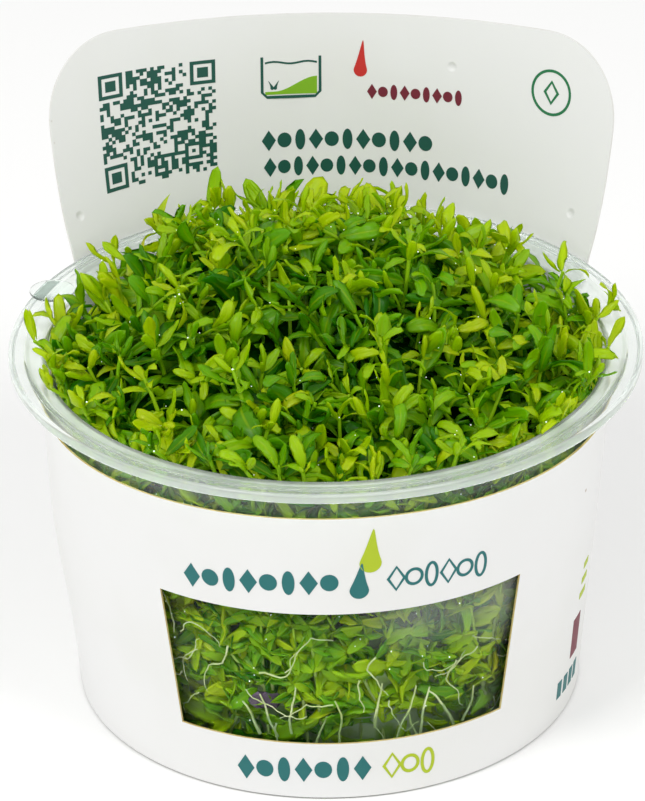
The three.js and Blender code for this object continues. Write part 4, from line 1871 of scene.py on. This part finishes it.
    def whorl(self, place: Vector, stem: Vector, depth: float, tone: float, press: bool) -> None:
        """Adds the leaves of one node.

        Args:
            place: The node's place.
            stem: The stem's direction there.
            depth: How far below its shoot's end the node is.
            tone: The shoot's tone.
            press: Whether the leaves lie against the cup's wall.
        """
        chance = self.chance
        age = smooth_share(depth, *self.ages)
        count = 3 if chance.random() < self.three_share else 4
        side = stem.cross(UP if abs(stem.z) < 0.9 else Vector((1, 0, 0))).normalized()
        start = chance.uniform(0, FULL_TURN)
        out = outward(place)
        for k in range(count):
            turn = start + FULL_TURN * (k + chance.uniform(-self.node_scatter, self.node_scatter)) / count
            radial = Matrix.Rotation(turn, 3, stem) @ side
            rise = math.radians(lerp(*self.rises, age) + chance.gauss(0, self.rise_scatter))
            along = radial * math.cos(rise) + stem * math.sin(rise)
            normal = stem * math.cos(rise) - radial * math.sin(rise)
            size = lerp(*self.sizes, age) * chance.uniform(*self.size_scatter)
            kind = chance.choice(YOUNG_KINDS if depth < self.young_above else OPEN_KINDS)
            if LEAF_ORDER[kind] is LeafForm.HOOKED and chance.random() < self.tamed_share:
                kind = chance.choice(PRESSED_KINDS)
            shift = chance.gauss(0, self.node_tones) + lerp(*self.tones, age)
            foot = place + radial * self.stem_radius * 0.7
            if press:
                lean = chance.uniform(-self.pressed_lean, math.pi + self.pressed_lean)
                flat = UP.cross(out) * math.cos(lean) + UP * math.sin(lean)
                along = (flat + out * chance.uniform(*self.pressed_rise)).normalized()
                normal = (out + flat.cross(out) * chance.gauss(0, self.pressed_roll)).normalized()
                size = chance.uniform(*self.pressed_sizes)
                shift = chance.gauss(0, self.pressed_tones)
                spare = self.room(place.z) - math.hypot(place.x, place.y)
                foot = place + out * spare * chance.uniform(*self.pressed_foot)
            self.leaf(foot, along, normal, size, kind, tone + shift)

    def shoot(
        self, base: Vector, tip: Vector, bow: Vector, depths: Sequence[float], tone: float, press: bool = False
    ) -> None:
        """Adds a shoot: a bowed stem, its leaves, and now and then a drop of water.

        Args:
            base: Where the stem starts.
            tip: Where it ends.
            bow: How its middle is moved.
            depths: How far below its end its nodes are.
            tone: Its tone, which its leaves stray from.
            press: Whether its leaves lie against the cup's wall.
        """
        path = []
        for point in curve(base, base.lerp(tip, 0.55) + bow, tip, self.stem_steps):
            limit = min((self.room(point.z) - self.stem_radius) / max(math.hypot(point.x, point.y), 0.1), 1.0)
            path.append(Vector((point.x * limit, point.y * limit, point.z)))
        thick = self.stem_radius * (0.66 if press else 1.0)
        self.stems.line(path, thick, thick * 0.62, tone)
        lengths = [0.0]
        for a, b in zip(path, path[1:]):
            lengths.append(lengths[-1] + (b - a).length)
        for depth in depths:
            reach = lengths[-1] - depth
            if reach < 0:
                continue
            i = max(k for k in range(self.stem_steps) if lengths[k] <= reach)
            share = (reach - lengths[i]) / (lengths[i + 1] - lengths[i])
            place = path[i].lerp(path[i + 1], share)
            stem = (path[i + 1] - path[i]).normalized()
            self.whorl(place, stem, depth, tone, press)
            if self.chance.random() < self.drop_shares[1]:
                self.drop(place + stem * 0.45, self.chance.uniform(*self.node_drop_radii))

    def plan_dome(self) -> None:
        """Plans the shoots whose ends make the dome."""
        self.chance = chance = random.Random(self.seed)
        golden = math.pi * (3 - math.sqrt(5))
        for i in range(self.dome_shoots):
            radius = self.dome_reach * math.sqrt((i + 0.5) / self.dome_shoots)
            x = radius * math.cos(i * golden) + chance.gauss(0, self.place_scatter)
            y = radius * math.sin(i * golden) + chance.gauss(0, self.place_scatter)
            limit = self.dome_reach / max(math.hypot(x, y), self.dome_reach)
            x, y = x * limit, y * limit
            away = math.hypot(x, y)
            if y > self.thin_from[0] and away > self.thin_from[1] and chance.random() < self.thin_back:
                continue
            hollow = self.hollows * math.sin(x / 4.3 + 0.7) * math.cos(y / 5.1 + 1.9)
            z = self.dome(x, y) - self.tip_depth + hollow + chance.gauss(0, self.height_scatter)
            if chance.random() < self.tall_share:
                z += chance.uniform(*self.tall_rise)
            if away > self.mouth_reach:
                z = max(z, self.cup.flange_top + 1.0)
            tip = Vector((x, y, z))
            foot = z - chance.uniform(*self.dome_length)
            inward = min(self.most_upright, self.foot_reach / max(away, 1.0))
            lean = self.leans[chance.random() >= self.lean_share]
            base = Vector((x * inward + chance.gauss(0, lean), y * inward + chance.gauss(0, lean), foot))
            bow = Vector((chance.gauss(0, self.bow_scatter), chance.gauss(0, self.bow_scatter), 0.0))
            if away > self.edge_from:
                base = Vector((x * inward, y * inward, foot))
                bow = -outward(tip)
            gap = chance.uniform(*self.dome_gap)
            depths = [self.first_node] + [gap * share for share in self.dome_nodes]
            self.shoot(base, tip, bow, depths, chance.betavariate(*self.dome_tones) + self.painted_shade_and_edge_tone(x, y))

    def plan_wall(self) -> None:
        """Plans the shoots and roots against the wall behind the window."""
        self.chance = chance = random.Random(self.seed + 1)
        spread = (-self.wall_half_angle, self.wall_half_angle)
        foot_scatter, tip_scatter, bow_scatter = self.wall_scatter
        for i in range(self.wall_shoots):
            angle = math.pi + lerp(*spread, (i + 0.5) / self.wall_shoots) + chance.gauss(0, foot_scatter)
            low = chance.uniform(*self.wall_low)
            high = chance.uniform(*self.wall_high)
            inset = chance.choice(self.wall_insets)
            tip = polar(self.room(high) - inset, angle + chance.gauss(0, tip_scatter), high)
            base = polar(self.room(low) - inset - 1.0, angle, low)
            bow = polar(-chance.uniform(0.0, self.wall_bow), angle, 0)
            bow += polar(chance.gauss(0, bow_scatter), angle + math.pi / 2, 0)
            gap = chance.uniform(*self.wall_gap)
            falls = [gap * k for k in range(10) if high - gap * k > 6.0 + chance.uniform(-2.0, 5.0)]
            depths = [self.first_node + fall for fall in falls]
            # The wall shoots' leaves get a lighter tone, 0.3 to 0.9, as painted light for leaves lit through the
            # window.
            self.shoot(base, tip, bow, depths, 0.3 + 0.6 * chance.random(), True)
        for _ in range(self.root_count):
            heading = chance.uniform(0, FULL_TURN) if chance.random() < 0.3 else -math.pi / 2
            angle = math.pi + chance.uniform(*spread)
            path = self.trail(angle, chance.uniform(11.0, 27.0), heading, chance.randint(7, 14), 0.42, 0.1)
            self.roots.line(path, chance.choice(self.root_radii), self.root_end, 0.5)
        for i in range(self.pale_feet):
            heading = math.pi / 2 + chance.gauss(0, 0.3)
            angle = math.pi + lerp(*self.feet_angles, (i + chance.random()) / self.pale_feet)
            path = self.trail(angle, chance.uniform(7.0, 12.0), heading, chance.randint(8, 14), 0.13, 0.4)
            self.roots.line(path, chance.uniform(*self.feet_radii), self.feet_end, 0.5)

    def trail(self, angle: float, z: float, heading: float, steps: int, wander: float, depth: float) -> list[Vector]:
        """A wandering path along the cup's wall.

        Args:
            angle: Where it starts round the cup.
            z: The height where it starts.
            heading: Its direction, from 0 for level to a quarter turn for up.
            steps: How many points it has.
            wander: How much its heading strays at each.
            depth: How far inside the free space it lies.

        Returns:
            The path's points.
        """
        path = []
        for _ in range(steps):
            path.append(polar(self.room(z) - depth, angle, z))
            heading += self.chance.gauss(0, wander)
            angle += math.cos(heading) * self.trail_pace / 42.0
            z = max(z + math.sin(heading) * self.trail_pace, 4.0)
        return path

    def plan_rim(self) -> None:
        """Plans the loose leaves that lie against the wall between the card and the flange."""
        self.chance = chance = random.Random(self.seed + 2)
        for i in range(self.rim_leaves):
            angle = FULL_TURN * (i + chance.random()) / self.rim_leaves
            z = chance.uniform(*self.rim_band)
            place = polar(self.room(z) - chance.uniform(0.2, 2.2), angle, z)
            out = outward(place)
            heading = chance.uniform(-0.5, math.pi + 0.5)
            along = UP.cross(out) * math.cos(heading) + UP * math.sin(heading)
            size = chance.uniform(*self.rim_sizes)
            self.leaf(place, along, out, size, chance.choice(OPEN_KINDS), chance.uniform(0.25, 0.9))

    def undergrowth(self) -> bpy.types.Object:
        """Makes the closed body of deep shade between the stems.

        Returns:
            The body.
        """
        chance = random.Random(self.seed + 3)
        angles = [FULL_TURN * k / self.shade_sides for k in range(self.shade_sides)]
        rows: list[list[Vector]] = []
        for radius in self.shade_rings:
            rows.append([polar(radius, angle, 0) for angle in angles])
            for point in rows[-1]:
                point.z = self.dome(point.x, point.y) - self.shade_depth + chance.gauss(0, self.shade_scatter[0])
        heights = [point.z for point in rows[-1]]
        for share in self.shade_shares:
            radii = [lerp(*self.shade_radii, share) + chance.gauss(0, self.shade_scatter[1]) for _ in angles]
            levels = [lerp(height, self.shade_foot, share) for height in heights]
            rows.append([polar(*place) for place in zip(radii, angles, levels)])
        shape = Shape()
        top = Vector((0, 0, self.dome(0, 0) - self.shade_depth))
        shape.add(*closed_round(list(zip(*rows)), top, Vector((0, 0, self.shade_foot))))
        return settle(shape.make("undergrowth", [self.shade.build()], 180.0))

    def old_leaf(self) -> bpy.types.Object:
        """Makes the one old purple leaf behind the window.

        Returns:
            The leaf.
        """
        blade = self.cutter.blade(LeafForm.SPOON, "old_leaf", random.Random(self.seed + 4))
        out = outward(self.old_place)
        along = (UP.cross(out) + UP * 0.25).normalized()
        turn = Matrix((along.cross(out), along, out)).transposed()
        foot = self.old_place - along * self.old_size * 0.5
        for vertex in blade.data.vertices:
            wide = Vector((vertex.co.x * self.old_width, vertex.co.y, vertex.co.z))
            vertex.co = turn @ wide * self.old_size + foot * MILLIMETRE
        blade.data.materials.append(self.old_skin.build())
        return settle(blade)

    def build_leaves(self, blades: bpy.types.Collection) -> None:
        """Grows the leaves of every sector, which stand for the clumps of solids there.

        Args:
            blades: The blades, which are removed when the leaves have grown.
        """
        tree = GrowthTree(
            "leaves_on_shoots", Blades=TreeInput.COLLECTION, Size=TreeInput.NUMBER, Material=TreeInput.MATERIAL
        )
        source = tree.node(
            "GeometryNodeCollectionInfo",
            sockets={"Collection": tree.given("Blades"), "Separate Children": True, "Reset Children": True},
        )
        placed = {
            "Points": tree.given(),
            "Instance": source,
            "Pick Instance": True,
            "Instance Index": tree.stored("kind"),
            "Rotation": tree.node("FunctionNodeEulerToRotation", sockets={0: tree.stored("turn")}),
            "Scale": tree.stored("size") * tree.given("Size"),
        }
        tree.close(tree.node("GeometryNodeInstanceOnPoints", sockets=placed))
        skin = self.leaf_skin.build()
        clumps: dict[str, list[str]] = {name: [] for name in SECTORS}
        for node in sorted(frame["nodes"]):
            if node.startswith("shoot_clump"):
                low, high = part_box(node)
                clumps[self.sector((Vector(low) + Vector(high)) / 2)].append(node)
        for name, plan in self.leaves.items():
            guide = plan.guide(f"leaf_guide_{name}")
            made = tree.grow(f"leaves_{name}", guide, Blades=blades, Size=1.0, Material=skin)
            settle(made, clumps[name])
        for blade in list(blades.objects):
            bpy.data.objects.remove(blade)
        bpy.data.collections.remove(blades)

    def build_lines(self) -> None:
        """Grows the stems and the roots along their paths."""
        tree = GrowthTree("stalks_on_paths", Thickness=TreeInput.NUMBER, Material=TreeInput.MATERIAL)
        tube = {
            "Curve": tree.node("GeometryNodeMeshToCurve", sockets={0: tree.given()}),
            "Profile Curve": tree.node("GeometryNodeCurvePrimitiveCircle", sockets={"Resolution": 6, "Radius": 1.0}),
            "Scale": tree.stored("thick") * tree.given("Thickness"),
            "Fill Caps": True,
        }
        grown = tree.node("GeometryNodeCurveToMesh", sockets=tube)
        tree.close(tree.node("GeometryNodeSetShadeSmooth", sockets={0: grown}))
        for name, plan, skin in (("stems", self.stems, self.stem_skin), ("roots", self.roots, self.root_skin)):
            made = tree.grow(name, plan.guide(f"{name}_guide"), Thickness=1.0, Material=skin.build())
            settle(made)

    def build_dew(self) -> None:
        """Sets the planned drops of water."""
        tree = GrowthTree("drops_on_points", Size=TreeInput.NUMBER, Material=TreeInput.MATERIAL)
        ball = tree.node("GeometryNodeMeshIcoSphere", sockets={"Radius": MILLIMETRE, "Subdivisions": 2})
        placed = {
            "Points": tree.given(),
            "Instance": tree.node("GeometryNodeSetShadeSmooth", sockets={0: ball}),
            "Scale": tree.stored("size") * tree.given("Size"),
        }
        tree.close(tree.node("GeometryNodeInstanceOnPoints", sockets=placed))
        settle(tree.grow("dew", self.dew.guide("dew_guide"), Size=1.0, Material=self.dew_glint_skin.build()))

    def build(self) -> None:
        """Makes all the growth."""
        blades = self.cutter.build()
        self.plan_dome()
        self.plan_wall()
        self.plan_rim()
        self.undergrowth()
        self.old_leaf()
        self.build_leaves(blades)
        self.build_lines()
        self.build_dew()


# The studio


@dataclass
class Studio:
    """A pale floor, soft light and the camera."""

    target: Vector = field(default_factory=lambda: Vector((-0.616, 0.0, 47.78)))
    distance: float = 700.0
    elevation: float = math.radians(28.30)
    roll: float = math.radians(-0.743)
    lens: float = 202.2
    floor_half: float = 3.0
    floor_colour: Colour = srgb(249, 249, 248)
    world: float = 0.70
    lamp_size: float = 0.45
    lamp_aim: Spot = (0.0, 0.0, 0.05)
    lamps: tuple[tuple[str, float, Spot], ...] = (
        ("left_lamp", 4.4, (-0.55, -0.44, 0.88)),
        ("right_lamp", 3.0, (0.55, -0.44, 0.88)),
    )

    def floor(self) -> None:
        """Lays the floor."""
        half = self.floor_half
        mesh = bpy.data.meshes.new("floor")
        corners = [(-half, -half, 0), (half, -half, 0), (half, half, 0), (-half, half, 0)]
        mesh.from_pydata(corners, [], [(0, 1, 2, 3)])
        s = Shader("pale_floor")
        matt = {"Base Color": self.floor_colour, "Roughness": 0.9, "Specular IOR Level": 0.1}
        mesh.materials.append(s.finish(s.principled(matt)))
        linked("floor", mesh)

    def light(self) -> None:
        """Lights the scene from all round, with two soft lamps above and in front."""
        world = bpy.data.worlds.new("soft_room")
        world.use_nodes = True
        background = world.node_tree.nodes["Background"]
        background.inputs["Color"].default_value = (1.0, 1.0, 1.0, 1.0)
        background.inputs["Strength"].default_value = self.world
        bpy.context.scene.world = world
        for name, power, place in self.lamps:
            lamp = bpy.data.lights.new(name, "AREA")
            lamp.energy = power
            lamp.size = self.lamp_size
            made = linked(name, lamp)
            made.location = place
            made.rotation_mode = "QUATERNION"
            aim = Vector(self.lamp_aim) - Vector(place)
            made.rotation_quaternion = aim.to_track_quat("-Z", "Y")

    def camera(self) -> None:
        """Sets the camera at the photograph's viewing angle."""
        data = bpy.data.cameras.new("camera")
        data.lens = self.lens
        data.sensor_width = 36.0
        data.sensor_fit = "AUTO"
        data.clip_start = 0.05
        data.clip_end = 20.0
        made = linked("camera", data)
        back = Vector((0.0, -math.cos(self.elevation), math.sin(self.elevation)))
        made.location = (self.target + back * self.distance) * MILLIMETRE
        made.rotation_mode = "QUATERNION"
        aim = (-back).to_track_quat("-Z", "Y")
        made.rotation_quaternion = Matrix.Rotation(self.roll, 3, back).to_quaternion() @ aim
        bpy.context.scene.camera = made

    def build(self) -> None:
        """Sets everything up."""
        self.floor()
        self.light()
        self.camera()
        bpy.context.scene.view_settings.view_transform = "Standard"


def main() -> None:
    """Builds the cup, the card and the plants."""
    logging.basicConfig(level=logging.INFO, format="%(name)s: %(message)s")
    cup = Cup()
    cup.build()
    form = CardForm(cup)
    Sleeve(form).build()
    Printing(form).build()
    Gel(cup).build()
    Growth(cup).build()
    Studio().build()


if __name__ == "__main__":
    main()
